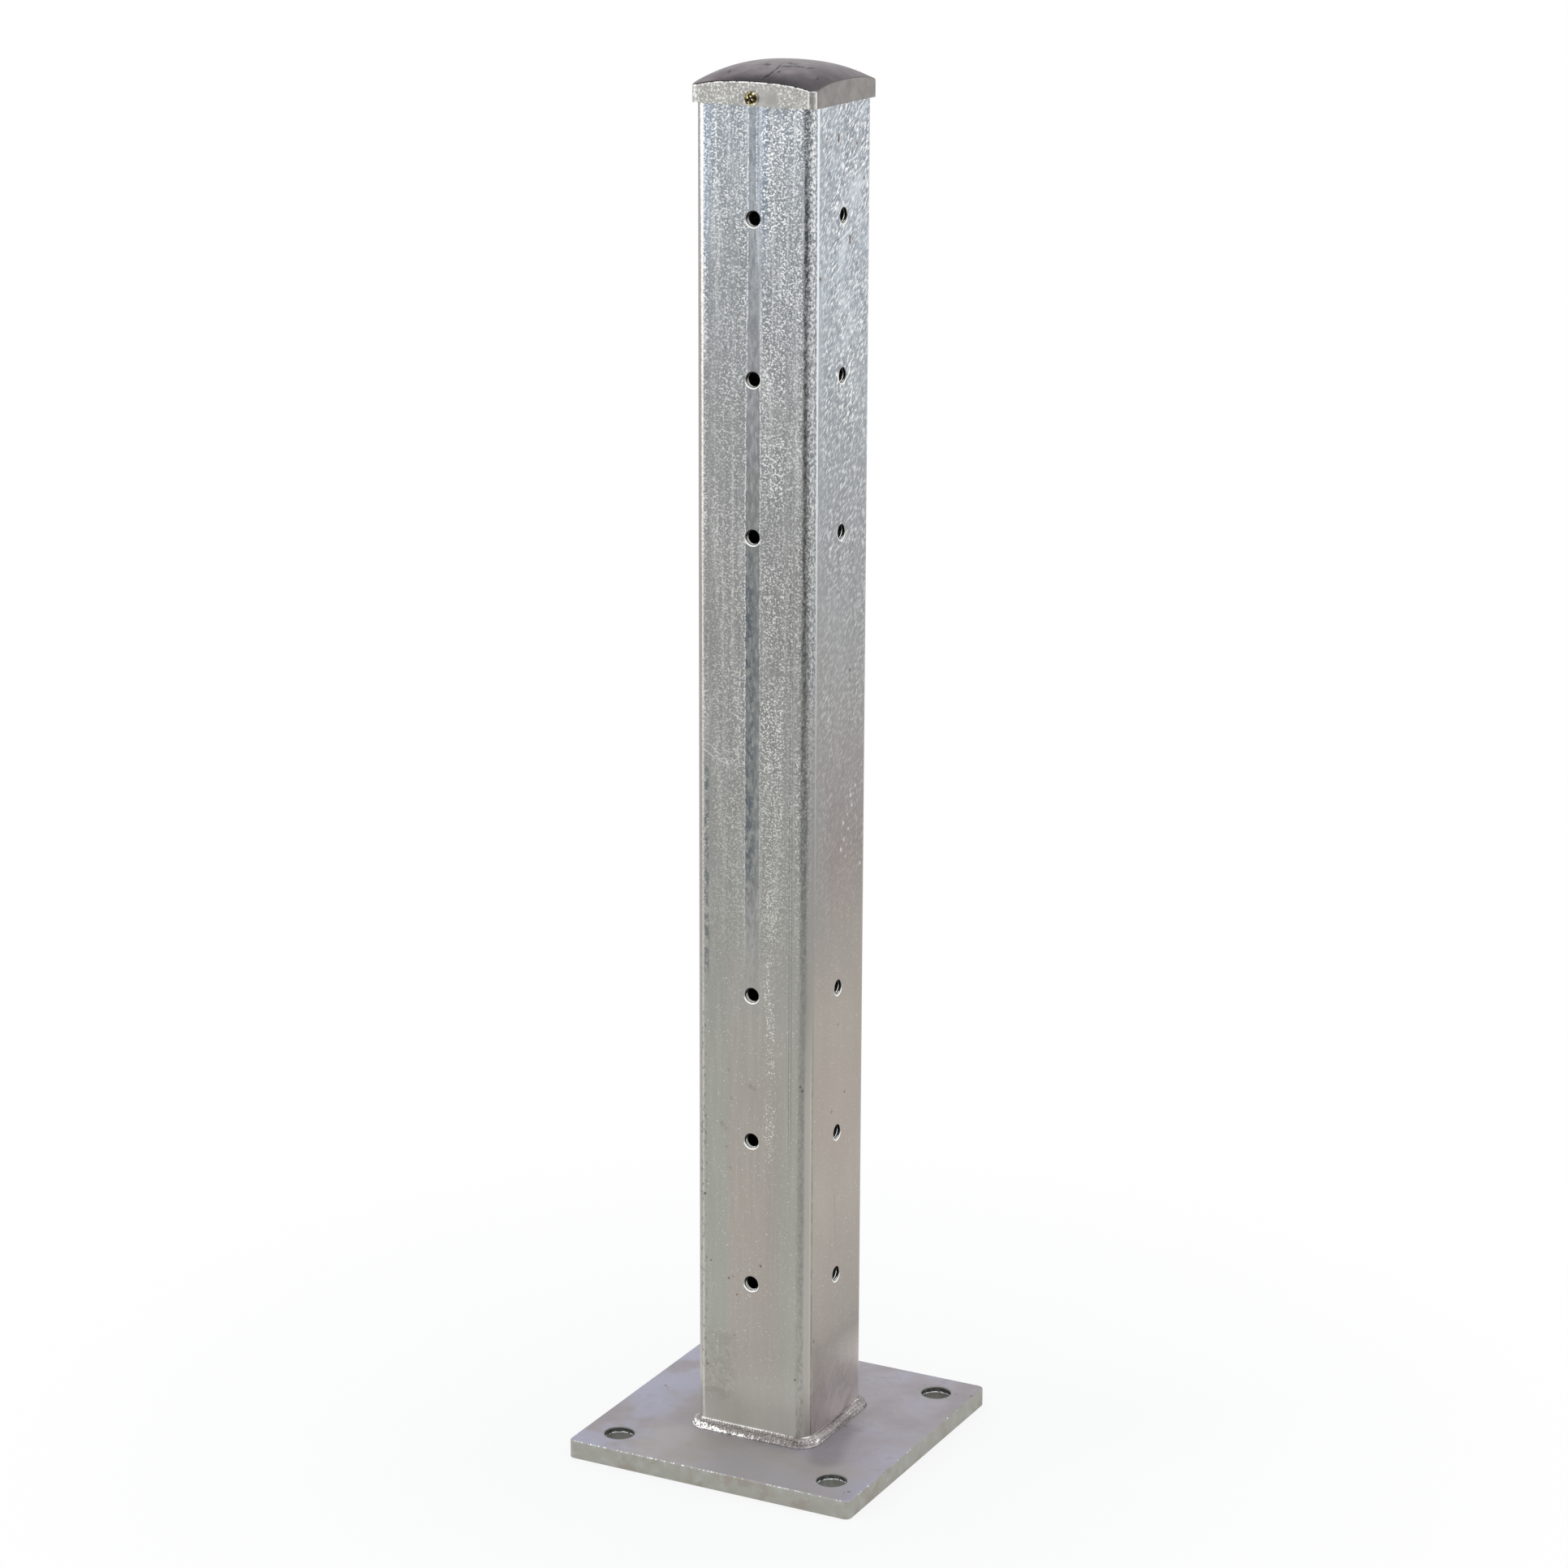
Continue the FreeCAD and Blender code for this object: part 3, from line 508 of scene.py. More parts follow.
def front_corner_reflection(skin, share):
    """The front corner: a dark ragged streak of painted reflection, a strip of painted glints, and a thin
    painted highlight along the crease by the right face.
    """
    step, band, all_of, noise = skin.step, skin.band, skin.all_of, skin.noise
    turn = corner_turn(skin, 1, TUBE_HALF, TUBE_CORNER)
    # A dark ragged streak of painted reflection, broken up by noise
    jitter = noise(6, detail=4, roughness=0.7, tall=0.6)
    ragged = skin.plus(turn, skin.scaled(jitter, 32, -16))
    thin = band(ragged, 18, 27, 6)
    wide = band(ragged, 14, 34, 12)
    lowness = step(share, 0.62, 0.5)
    streak = skin.plus(thin, all_of(lowness, skin.minus(wide, thin)))
    depth = skin.ramp(share, [
        (0.05, 0.2), (0.36, 0.3), (0.46, 0.5), (0.6, 0.75), (0.91, 0.8), (0.97, 0.45),
    ])
    streak_noise = noise(2.6, detail=4, roughness=0.8, tall=0.5)
    streak_breakup = skin.scaled(step(streak_noise, 0.46, 0.54), 0.88, 0.12)
    dark = skin.ramp(share, [(0.3, (120, 118, 114)), (0.55, (80, 83, 83)), (0.95, (50, 54, 58))])
    skin.coat(dark, streak, depth, streak_breakup)

    # A lighter strip of painted reflection, with painted shade and painted glints in its grain
    high = step(share, 0.4, 0.8)
    strip = band(turn, 48, 78, 8)
    skin.coat(skin.ramp(share, [
        (0.1, (156, 154, 148)), (0.45, (156, 155, 152)), (0.65, (170, 172, 172)), (0.95, (206, 210, 214)),
    ]), strip, 0.5)
    grain = noise(1.7, detail=3, roughness=0.7, tall=0.7)
    beyond = all_of(band(turn, 34, 76, 6), step(share, 0.4, 0.6))
    skin.coat((112, 115, 117), beyond, step(grain, 0.49, 0.4), 0.7)
    sparkle = skin.scaled(step(share, 0.8, 0.95), 0.3, 0.65)
    skin.coat((252, 254, 255), beyond, step(grain, 0.51, 0.57), high, sparkle)
    before = all_of(band(skin.x, 35, 41, 2), step(skin.facing_y, -0.5, -0.8), high)
    skin.coat((240, 244, 246), before, step(grain, 0.55, 0.62), 0.6)

    # A thin line of painted shade, then a painted highlight along the crease
    skin.coat((128, 132, 134), band(turn, 66, 69, 3), high, 0.55)
    crease_start = skin.scaled(step(share, 0.5, 0.9), -6, 82)
    past_start = step(skin.minus(turn, crease_start), -2.5, 0)
    crease_highlight = all_of(past_start, step(turn, 91, 88))
    glow = skin.ramp(share, [(0.38, 0.0), (0.55, 0.25), (0.7, 0.7), (0.95, 1.0)])
    skin.coat((244, 250, 255), crease_highlight, glow)
    # Low down: a dim band of painted shade, lighter bands of painted reflection and dark dashes
    low = step(share, 0.36, 0.26)
    dim = all_of(band(ragged, 4, 26, 8), low, skin.scaled(streak_breakup, 0.7, 0.3))
    skin.coat((122, 118, 112), dim, 0.28)
    skin.coat((200, 195, 186), band(turn, 38, 62, 8), low, 0.35)
    skin.coat((214, 204, 194), band(turn, 64, 69, 3), low, 0.4)
    dashes = step(noise(6, detail=3, tall=0.8), 0.45, 0.55)
    skin.coat((112, 106, 100), band(turn, 74, 78, 3), dashes, low, 0.4)


def left_corner(skin, share):
    """The front's left corner: a cream highlight line above, dark ticks along it below."""
    step, band, all_of, noise = skin.step, skin.band, skin.all_of, skin.noise
    turn = corner_turn(skin, -1, TUBE_HALF, TUBE_CORNER)
    line_end = skin.scaled(step(share, 0.84, 0.97), 7, 20)
    line = all_of(step(turn, 8, 13), step(skin.minus(turn, line_end), 3, 0))
    beads = skin.scaled(step(noise(2), 0.35, 0.6), 0.5, 0.5)
    glow = skin.ramp(share, [
        (0.013, 1.0), (0.045, 0.9), (0.06, 0.25), (0.4, 0.3), (0.55, 0.45), (0.8, 0.85), (0.97, 1.0),
    ])
    skin.coat((255, 250, 240), line, beads, glow)
    outer = all_of(step(skin.minus(turn, line_end), 2, 6), step(turn, 78, 66))
    skin.coat((160, 150, 147), outer, step(share, 0.3, 0.5), 0.85)
    ticks = step(noise(2.4, detail=3, roughness=0.7, tall=0.6), 0.56, 0.64)
    low = all_of(step(share, 0.42, 0.3), step(share, 0.045, 0.07))
    skin.coat((96, 94, 90), ticks, band(turn, 0, 50, 8), low, 0.6)


def tube_marks(skin):
    """Spots, drips and scratches at the photograph's places."""
    half = TUBE_HALF / MM

    def on_front(*places):
        return [(x, -half, *rest) for x, *rest in places]

    def on_right(*places):
        return [(half, *rest) for rest in places]

    # Brown, faded brown, rusty and dark spots, and drops of zinc: colour, cover, places with a radius
    for shade, cover, spots in (
        ((112, 90, 64), 0.75, on_front(
            (8.4, 161.5, 1.7), (-19.9, 146.1, 1.5), (-16.3, 148.3, 0.9), (-12.6, 133.4, 1.2),
        )),
        ((136, 122, 104), 0.4, on_front(
            (-25.5, 275.2, 3.2), (-22.5, 271.5, 2.2), (-17.6, 297.7, 2.2), (-0.8, 310.4, 3.4),
            (2.4, 308.6, 2.4), (-22.1, 256.7, 2.0), (-18.7, 239.3, 2.2), (-20.0, 320.9, 1.8),
        )),
        ((104, 76, 50), 0.9, on_right(
            (-28.5, 1047.2, 1.8), (21.0, 1039.0, 2.0), (33.3, 1012.1, 1.8), (-38.2, 945.5, 2.4),
            (16.0, 636.7, 2.0),
        )),
        ((74, 72, 68), 0.7, on_front(
            (-41.1, 214.1, 1.3), (-36.0, 158.4, 1.2), (-39.4, 69.2, 1.3), (39.4, 70.7, 1.4),
            (-14.8, 98.3, 0.8), (44.8, 313.6, 2.4), (42.8, 316.6, 1.6),
        )),
        ((74, 72, 68), 0.7, on_right(
            (12.4, 294.7, 1.6), (-9.6, 284.8, 1.6), (0.4, 354.1, 1.4), (-38.5, 101.3, 1.8),
        )),
        ((228, 228, 226), 0.6, on_right(
            (19.2, 536.3, 2.6), (21.3, 527.5, 2.2), (14.0, 522.0, 1.8), (6.9, 516.8, 2.5),
            (15.4, 510.0, 2.0), (3.0, 496.2, 2.7), (8.0, 503.0, 1.8), (36.4, 476.9, 2.2),
            (27.5, 542.3, 2.0), (11.0, 489.0, 1.6),
        )),
    ):
        skin.coat(shade, skin.near(spots), cover)

    # Rusty drips, light lines and scratches: colour, cover, places, then width, wander and its size
    for shade, cover, points, *line in (
        ((104, 76, 50), 0.9, on_right((-9.2, 1048.5), (-9.2, 1044.0)), 2.0, 1.0),
        ((104, 76, 50), 0.9, on_right((10.6, 971.0), (10.6, 966.5)), 2.0, 1.0),
        ((232, 234, 232), 0.5, on_front(
            (-41.2, 577.8), (-34.0, 573.0), (-26.0, 570.0), (-16.5, 569.4), (-11.6, 576.0), (-12.5, 583.5),
        ), 0.7, 3.0, 6.0),
        ((232, 234, 232), 0.5, on_front(
            (-38.0, 583.0), (-29.9, 577.0), (-22.1, 572.0), (-19.0, 566.0),
        ), 0.7, 3.0, 6.0),
        ((228, 230, 230), 0.5, on_front((8.0, 820.5), (31.0, 818.5)), 0.6, 0.8),
        ((228, 228, 226), 0.5, on_right((-21.1, 624.2), (-30.6, 617.4)), 0.7),
        ((120, 112, 104), 0.35, on_right((-3.9, 218.3), (-1.7, 166.0)), 0.6, 1.0),
    ):
        skin.coat(shade, skin.stroke(points, *line), cover)


def plate_finish():
    """Zinc on the flat bar: lavender grey on top with brown clouds, greener on the sawn sides."""
    skin = Finish("galvanised_plate_skin", roughness=0.5, metallic=0.5)
    step, band, all_of, noise = skin.step, skin.band, skin.all_of, skin.noise
    x, y, z = skin.x, skin.y, skin.z
    clouds = noise(45, detail=4, roughness=0.55)
    skin.base = skin.ramp(clouds, [
        (0.36, (156, 150, 153)), (0.5, (165, 160, 167)), (0.64, (171, 168, 180)),
    ])
    stains = noise(22, detail=5, roughness=0.65)
    skin.coat((148, 138, 133), step(stains, 0.54, 0.68), 0.5)
    from_middle = skin.root_of_squares(x, y)
    around = step(skin.plus(from_middle, all_of(clouds, 60)), 145, 90)
    skin.coat((160, 152, 150), around, 0.3)
    bloom = all_of(step(skin.math("MINIMUM", x, y), -50, -105), step(clouds, 0.4, 0.55))
    skin.coat((170, 172, 194), bloom, 0.45)
    in_front = all_of(step(y, -50, -75), band(x, -60, 100, 30))
    skin.coat((176, 170, 164), in_front, 0.55)
    level = PLATE_TOP / MM
    # Painted shade on the plate beside the weld's front corner
    shade_beside_weld = skin.stroke([(58, -6, level), (66, -45, level), (74, -64, level)], 20)
    skin.coat((104, 100, 100), shade_beside_weld, 0.4)
    top = skin.base

    streaks = noise(9, detail=4)
    skin.base = skin.ramp(streaks, [(0.3, (163, 162, 153)), (0.7, (173, 172, 164))])
    skin.coat((154, 142, 128), step(stains, 0.5, 0.62), 0.5)
    skin.coat((178, 184, 177), step(streaks, 0.56, 0.66), 0.25)
    # Painted shade along the sides' bottom edge
    skin.coat((110, 108, 102), step(z, 0.4, 0), 0.3)
    skin.coat(top, step(skin.facing_z, 0.6, 0.9))
    skin.coat((196, 196, 200), skin.speckle(0.12, 1.3), 0.25)
    spots = (
        (116.4, -107.4, 2.2), (113.5, -110.0, 1.3), (123.6, 102.3, 1.8), (111.1, 99.4, 1.4),
        (-35.6, -89.2, 1.0), (-107.7, 4.0, 2.0), (-104.0, 1.0, 1.2), (59.2, 1.3, 2.0),
    )
    dark = skin.near([(px, py, level, radius) for px, py, radius in spots])
    skin.coat((84, 78, 74), dark, 0.6)
    off_x, off_y = (skin.minus(skin.math("ABSOLUTE", place), ANCHOR_HALF_SPAN / MM) for place in (x, y))
    past_hole = skin.minus(skin.root_of_squares(off_x, off_y), ANCHOR_RADIUS / MM)
    rim = band(past_hole, -0.4, 0.7, 0.4)
    skin.coat((120, 118, 122), rim, step(z, 13, 14.6), 0.35)
    # Painted shade on the anchor holes' walls, mottled
    wall = all_of(step(past_hole, 0.9, 0.4), step(z, 14.4, 13.6))
    hole_wall_shade = skin.ramp(noise(4, detail=3), [(0.35, (42, 46, 46)), (0.65, (96, 100, 99))])
    skin.coat(hole_wall_shade, wall, 0.92)
    grain = noise(1.2, detail=3, roughness=0.6)
    relief = skin.plus(grain, all_of(clouds, 1.5))
    return skin.finish(relief, strength=0.25)


def weld_finish():
    """Zinc over the weld. The mesh says how bright each place is, painted highlights and painted shade
    included.
    """
    skin = Finish("galvanised_weld_skin", roughness=0.26)
    shade = skin.node("Attribute", attribute_name="shade").outputs["Fac"]
    grain = skin.noise(1.2, detail=3, roughness=0.65)
    mixed = skin.plus(shade, skin.scaled(grain, 0.3, -0.15))
    skin.base = skin.ramp(mixed, [
        (0.0, (84, 79, 77)), (0.3, (124, 118, 115)), (0.55, (156, 150, 150)), (0.75, (204, 202, 200)),
        (0.95, (250, 250, 248)),
    ])
    return skin.finish(grain, strength=0.4, depth=0.4)


def cap_finish():
    """A zinc casting: a skirt with painted glints, a top painted dark as a reflection of the unlit studio,
    and a wandering scratch.
    """
    skin = Finish("galvanised_cap_skin", roughness=0.4)
    step, band, all_of, noise = skin.step, skin.band, skin.all_of, skin.noise
    x, y, z = skin.x, skin.y, skin.z
    clouds = noise(9, detail=3)
    skin.base = skin.ramp(clouds, [(0.35, (165, 163, 159)), (0.65, (185, 184, 180))])
    smooth = all_of(band(x, 8, 19, 5), step(z, HEIGHT / MM - 12, HEIGHT / MM - 20))
    density = skin.minus(0.85, all_of(smooth, 0.8))
    uneven = skin.scaled(clouds, 1.0, 0.45)
    # Painted glints and painted shade on the skirt's grains
    glints, grain_shade_mask = skin.frosting(all_of(density, uneven), 1.8, skin.place)
    skin.coat((130, 128, 124), grain_shade_mask, 0.4)
    skin.coat((246, 247, 244), glints, 0.8)
    # Painted shade on the right side
    right = skin.ramp(clouds, [(0.35, (136, 132, 130)), (0.65, (154, 150, 147))])
    skin.coat(right, step(skin.facing_x, 0.7, 0.95))
    # Painted highlight lines and a grey band of painted reflection on the front corner
    turn = corner_turn(skin, 1, CAP_HALF, CAP_CORNER)
    lines = skin.any_of(band(turn, 0, 10, 4), band(turn, 58, 68, 5))
    skin.coat((252, 252, 248), lines, 0.7)
    skin.coat((184, 182, 178), band(turn, 22, 44, 8), 0.7)
    side = skin.base

    # The top, painted dark as a reflection of the unlit studio, darkest toward the front edge and at the
    # right
    skin.base = skin.ramp(clouds, [(0.3, (106, 98, 103)), (0.7, (132, 123, 127))])
    lean = skin.scaled(skin.facing_x, 0.6, all_of(skin.facing_y, -0.8))
    skin.coat((42, 40, 44), step(lean, 0.22, 0.45), 0.9)
    skin.coat((72, 68, 71), step(x, 22, 46), 0.25)
    wedge = all_of(step(x, 16, 44), step(y, 14, -16))
    skin.coat((54, 52, 56), wedge, step(noise(14, detail=4), 0.25, 0.6), 0.6)
    over_edge = skin.minus(skin.facing_z, all_of(band(turn, 12, 70, 10), -0.12))
    skin.coat(side, step(over_edge, 0.5, 0.28))
    # Painted highlights on the beads along the top's front edge
    beads = all_of(
        band(skin.facing_z, 0.16, 0.5, 0.06), step(noise(2.4), 0.44, 0.54),
        step(skin.facing_y, -0.3, -0.7),
    )
    skin.coat((244, 244, 242), beads, 0.85)
    # Painted light on the right shoulder
    skin.coat((196, 193, 190), band(skin.facing_z, 0.3, 0.75, 0.15), step(skin.facing_x, 0.3, 0.7), 0.15)
    cap_marks(skin)
    relief = skin.plus(all_of(glints, 0.8), clouds)
    return skin.finish(relief, strength=0.3)


def cap_marks(skin):
    """A wandering scratch, short scrapes and small spots on the cap's top."""
    # The line's width, then its places by x and y
    found = []
    for width, *places in (
        (1.15, (7.3, -47.2), (9.7, -42.8), (10.0, -37.1), (10.2, -32.2), (9.5, -27.1), (8.2, -20.5)),
        (1.5, (-4.5, -22.3), (0.0, -24.6)),
        (1.4, (10.5, -13.0), (14.5, -15.5), (17.5, -14.5)),
        (1.4, (12.5, -25.0), (19.9, -21.6), (25.0, -18.5)),
        (1.3, (29.0, -18.0), (31.5, -16.0)),
        (1.0, (14.2, -37.0), (15.2, -37.0)),
        (1.0, (42.9, -31.9), (43.9, -31.9)),
        (1.0, (-25.9, -38.9), (-24.9, -38.9)),
    ):
        points = [(x, y, 0) for x, y in places]
        found.append(skin.stroke(points, width, wander=1.6, size=5, squash=(1, 0.36, 0)))
    broken = skin.step(skin.noise(3, detail=3, roughness=0.6), 0.32, 0.44)
    on_top = skin.step(skin.facing_z, 0.5, 0.8)
    skin.coat((22, 21, 24), skin.any_of(*found), broken, on_top, 0.9)


def thread_finish():
    """Cut threads: flanks in painted shade, darkest in the upper half of the hole, and crests with painted
    highlights in the lower half.
    """
    skin = Finish("cut_thread_skin", roughness=0.25)
    level, _ = above_hole(skin)
    across = skin.math("MINIMUM", skin.math("ABSOLUTE", skin.x), skin.math("ABSOLUTE", skin.y))
    radius = HOLE_RADIUS / MM
    crest = skin.step(skin.root_of_squares(across, level), radius - 0.4, radius - 0.7)
    lower = skin.step(level, 1.5, -1.5)
    flank = skin.mix(lower, colour(22, 22, 22), colour(70, 70, 70))
    edge = skin.mix(lower, colour(86, 85, 83), colour(252, 252, 250))
    skin.base = skin.mix(crest, flank, edge)
    return skin.finish()


def screw_finish():
    """Yellow passivated zinc: brown painted shade in the recess, olive and gold on the head with painted
    glints, a painted highlight on the rim.
    """
    skin = Finish("yellow_zinc_skin", roughness=0.16)
    tarnish_and_glints = skin.noise(2.6)
    # Olive and gold tarnish, with cream painted glints at its brightest
    skin.base = skin.ramp(tarnish_and_glints, [
        (0.44, (64, 57, 34)), (0.53, (112, 100, 62)), (0.59, (176, 166, 124)), (0.64, (250, 248, 234)),
    ])
    away = skin.root_of_squares(skin.x, skin.minus(skin.z, SCREW_LEVEL / MM))
    # A painted highlight on the head's rim
    rim = skin.all_of(skin.step(away, 4.9, 5.2), skin.step(skin.x, 1, 3))
    skin.coat((240, 236, 220), rim, 0.85)
    # Dark brown painted shade in the cross recess
    head = SCREW_LOW.y / MM
    sunk = skin.step(skin.y, head + 0.75, head + 1.1)
    recess = skin.all_of(sunk, skin.step(away, 3.4, 3.2))
    skin.coat((48, 28, 10), recess, 0.85)
    return skin.finish(tarnish_and_glints, strength=0.3, depth=0.2)


def paint(node_name, material):
    """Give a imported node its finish."""
    part = frame["nodes"][node_name]
    for slot in part.material_slots:
        slot.material = material


def add_piece(name, mesh, material):
    """A new smooth-shaded piece of the post, which rides with it."""
    piece = bpy.data.objects.new(name, mesh)
    bpy.context.scene.collection.objects.link(piece)
    mesh.materials.append(material)
    mesh.polygons.foreach_set("use_smooth", [True] * len(mesh.polygons))
    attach(piece, BODY)
    return piece


def sweep(rings, closed):
    """A mesh through rings of points: closed in a loop, or capped at both ends."""
    count = len(rings[0])
    points = [point for ring in rings for point in ring]
    faces = []
    steps = len(rings) if closed else len(rings) - 1
    for i in range(steps):
        here = i * count
        there = ((i + 1) % len(rings)) * count
        for j in range(count):
            k = (j + 1) % count
            faces.append((here + j, here + k, there + k, there + j))
    if not closed:
        faces.append(tuple(range(count))[::-1])
        faces.append(tuple((len(rings) - 1) * count + j for j in range(count)))
    mesh = bpy.data.meshes.new("swept")
    mesh.from_pydata([tuple(point) for point in points], [], faces)
    mesh.update()
    return mesh


def rail_holes():
    """(name, centre of the mouth, outward axis) of each tapped hole, from the bolt patterns."""
    for mount_name, mount in MOUNTS.items():
        if not mount_name.startswith("rail_holes_"):
            continue
        outward = Vector(mount["axis"])
        middle = outward * TUBE_HALF + UP * mount["pos_m"][2]
        half_span = mount["dims"]["spacing_y_mm"] * MM / 2
        for word, sign in (("low", -1), ("high", 1)):
            name = mount_name.replace("rail_holes_", "thread_") + "_" + word
            yield name, middle + UP * (sign * half_span), outward


def build_thread(name, mouth, outward, material):
    """The ridge of a right-hand thread on the wall of a tapped hole."""
    per_turn = 40
    foot_half = 0.82 * MM
    crest_half = 0.14 * MM
    foot = HOLE_RADIUS + 0.02 * MM
    run_in = 0.2
    sideways = UP.cross(outward)
    first = MOUTH_DEPTH + 0.5 * foot_half
    last = TUBE_WALL - foot_half
    turns = (last - first) / THREAD_PITCH
    steps = round(turns * per_turn)
    rings = []
    for i in range(steps + 1):
        turned = turns * i / steps
        angle = -2 * math.pi * turned
        depth = first + THREAD_PITCH * turned
        spoke = sideways * math.cos(angle) + UP * math.sin(angle)
        share = min(1.0, turned / run_in, (turns - turned) / run_in)
        crest = HOLE_RADIUS - THREAD_DEPTH * max(share, 0.05)
        rings.append([
            mouth - outward * (depth + offset) + spoke * reach
            for offset, reach in (
                (-foot_half, foot), (-crest_half, crest), (crest_half, crest), (foot_half, foot),
            )
        ])
    add_piece(name, sweep(rings, closed=False), material)


def weld_path(turned, step):
    """Points along one run: (root on the tube's face, outward direction, share of the run's length)."""
    straight = 2 * (TUBE_HALF - TUBE_CORNER)
    arc = TUBE_CORNER * math.pi / 2
    bend_steps = round((TUBE_CORNER + WELD_LEG) * math.pi / 2 / step)
    straight_steps = round(straight / step)
    turn = Matrix.Rotation(math.radians(90) * turned, 3, "Z")
    corner = Vector((-TUBE_HALF + TUBE_CORNER, -TUBE_HALF + TUBE_CORNER, 0))
    for i in range(bend_steps):
        share = i / bend_steps
        angle = math.pi + share * math.pi / 2
        outward = Vector((math.cos(angle), math.sin(angle), 0))
        yield turn @ (corner + outward * TUBE_CORNER), turn @ outward, share * arc
    for i in range(straight_steps + 1):
        share = i / straight_steps
        place = Vector((corner.x + straight * share, -TUBE_HALF, 0))
        yield turn @ place, turn @ Vector((0, -1, 0)), arc + straight * share


def bell(value, centre, width):
    """A smooth bump of height one."""
    return math.exp(-((value - centre) / width) ** 2)


def ease(value, low, high):
    """0 at low, 1 at high, smooth between."""
    share = min(1.0, max(0.0, (value - low) / (high - low)))
    return share * share * (3 - 2 * share)


def weld_shade(turned, place, along, across):
    """How bright the zinc is painted, light and shade included, 0 to 1, a share of the way across and
    millimetres along.
    """
    grain = field.noise(place * 900)
    blots = field.noise(place * 420)
    # A painted highlight along the toe line
    toe = bell(across, 0.05, 0.07) * (0.95 + 0.5 * grain)
    if turned == 0:
        tip = ease(along, 6, 10)
        thick = 1 - ease(along, 24, 34)
        bright = 1 - ease(along, 52, 62)
        glints = 1 - 0.7 * ease(along, 74, 84)
        low_edge = 0.5 + 0.3 * (1 - thick)
        beads = max(0.0, min(1.0, 0.5 + 1.5 * grain + 1.1 * blots))
        beads *= ease(across, low_edge - 0.15, low_edge + 0.1)
        # Its own tone with painted glints, then painted highlights on the beads and the toe
        shade = 0.38 + 0.14 * blots + 0.1 * grain + 0.3 * glints * max(0.0, grain + 0.5 * blots) * across
        shade += tip * beads * (0.75 * bright + 0.1 + 0.25 * thick)
        shade += (0.65 - 0.3 * ease(along, 60, 90)) * toe * ease(along, 9, 13)
        return shade + 0.22 * (1 - tip)
    strands = field.noise(Vector((along * 0.028, across * 9, 3.7 + turned)))
    shade = 0.47 + 0.3 * strands + 0.1 * blots
    if turned == 1:
        # Painted shade in the groove by the tube and near the corner, painted highlights by the corner and
        # at the far end
        length = ease(along, 18, 26) * (1 - ease(along, 60, 72))
        shade -= 0.42 * bell(across, 0.2, 0.07) * length
        shade -= 0.12 * (1 - ease(along, 2, 10))
        shade += 0.6 * bell(along, 9, 4) * toe
        shade += 0.55 * bell(along, 15, 3.5) * bell(across, 0.72, 0.14) * (0.8 + blots)
        end = ease(along, 80, 86)
        shade += 0.5 * end * bell(across, 0.06, 0.08) * max(0.0, 0.5 + 1.5 * grain)
    return shade


def build_weld(node_name, turned, material):
    """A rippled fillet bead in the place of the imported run: a sunk seam by the tube and a crest below."""
    step = 0.35 * MM
    across = 26
    ripple_pitch = 2.3 * MM
    ripple = 0.14 * MM
    lump = 0.75 * MM
    rings = []
    shades = []
    for root, outward, along in weld_path(turned, step):
        ring = []
        for j in range(across + 1):
            share = j / across
            swell = 4 * share * (1 - share)
            flat = root + outward * (WELD_LEG * share) + UP * (PLATE_TOP + WELD_LEG * (1 - share))
            lift = WELD_BULGE * swell
            lag = 1.6 * MM * (2 * share - 1) ** 2
            lift += ripple * swell * math.sin(2 * math.pi * (along + lag) / ripple_pitch)
            lift -= 0.5 * MM * bell(share, 0.3, 0.13)
            lift += 0.35 * MM * bell(share, 0.06, 0.06)
            full = ease(along, 5 * MM, 10 * MM) if turned == 0 else 1.0
            lift += full * lump * (0.5 + field.noise(flat * 110 + UP * 3)) * bell(share, 0.72, 0.14)
            lift += 0.55 * MM * swell * field.noise(flat * 520)
            lift = min(lift, 1.35 * MM)
            normal = (outward + UP).normalized()
            ring.append(flat + normal * lift)
            shades.append(weld_shade(turned, flat, along / MM, share))
        hidden = 0.3 * MM
        ring.append(root - outward * hidden + UP * (PLATE_TOP - hidden))
        shades.append(0.0)
        rings.append(ring)
    mesh = sweep(rings, closed=False)
    mesh.attributes.new("shade", "FLOAT", "POINT").data.foreach_set("value", shades)
    piece = add_piece("bead_" + node_name, mesh, material)
    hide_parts(node_name)


def bead_finish():
    """Bright beads of run zinc."""
    skin = Finish("zinc_bead_skin", roughness=0.25)
    skin.base = skin.ramp(skin.noise(3), [(0.4, (188, 190, 190)), (0.6, (246, 248, 248))])
    return skin.finish()


def build_edge_beads(material):
    """Small drops of zinc left along the plate's upper edges, most of them on the front one."""
    margin = 0.04 * MM
    half_run = PLATE_HALF - 6 * MM
    mesh = bmesh.new()
    for turned, chance in ((0, 0.75), (1, 0.12), (2, 0.1), (3, 0.35)):
        turn = Matrix.Rotation(math.radians(90) * turned, 3, "Z")
        along = -half_run
        while along < half_run:
            thinning = 1.0 if along < 0.02 else 0.45
            clump = 0.65 + 0.7 * field.noise(Vector((along * 60, turned * 5.0, 0.0)))
            if random.random() < chance * thinning * clump:
                big = turned == 0 and along < 0.0
                radius = random.uniform(0.65, 1.1) * MM if big else random.uniform(0.45, 0.8) * MM
                inset = radius + margin
                place = turn @ Vector((along, -PLATE_HALF + inset, PLATE_TOP - inset))
                stretch = Matrix.Diagonal((random.uniform(1.0, 1.6), 1, 1, 1))
                spin = turn.to_4x4() @ stretch
                bmesh.ops.create_icosphere(
                    mesh, subdivisions=2, radius=radius, matrix=Matrix.Translation(place) @ spin
                )
            along += random.uniform(0.9, 2.4) * MM
    beads = bpy.data.meshes.new("edge_beads")
    mesh.to_mesh(beads)
    mesh.free()
    add_piece("edge_beads", beads, material)


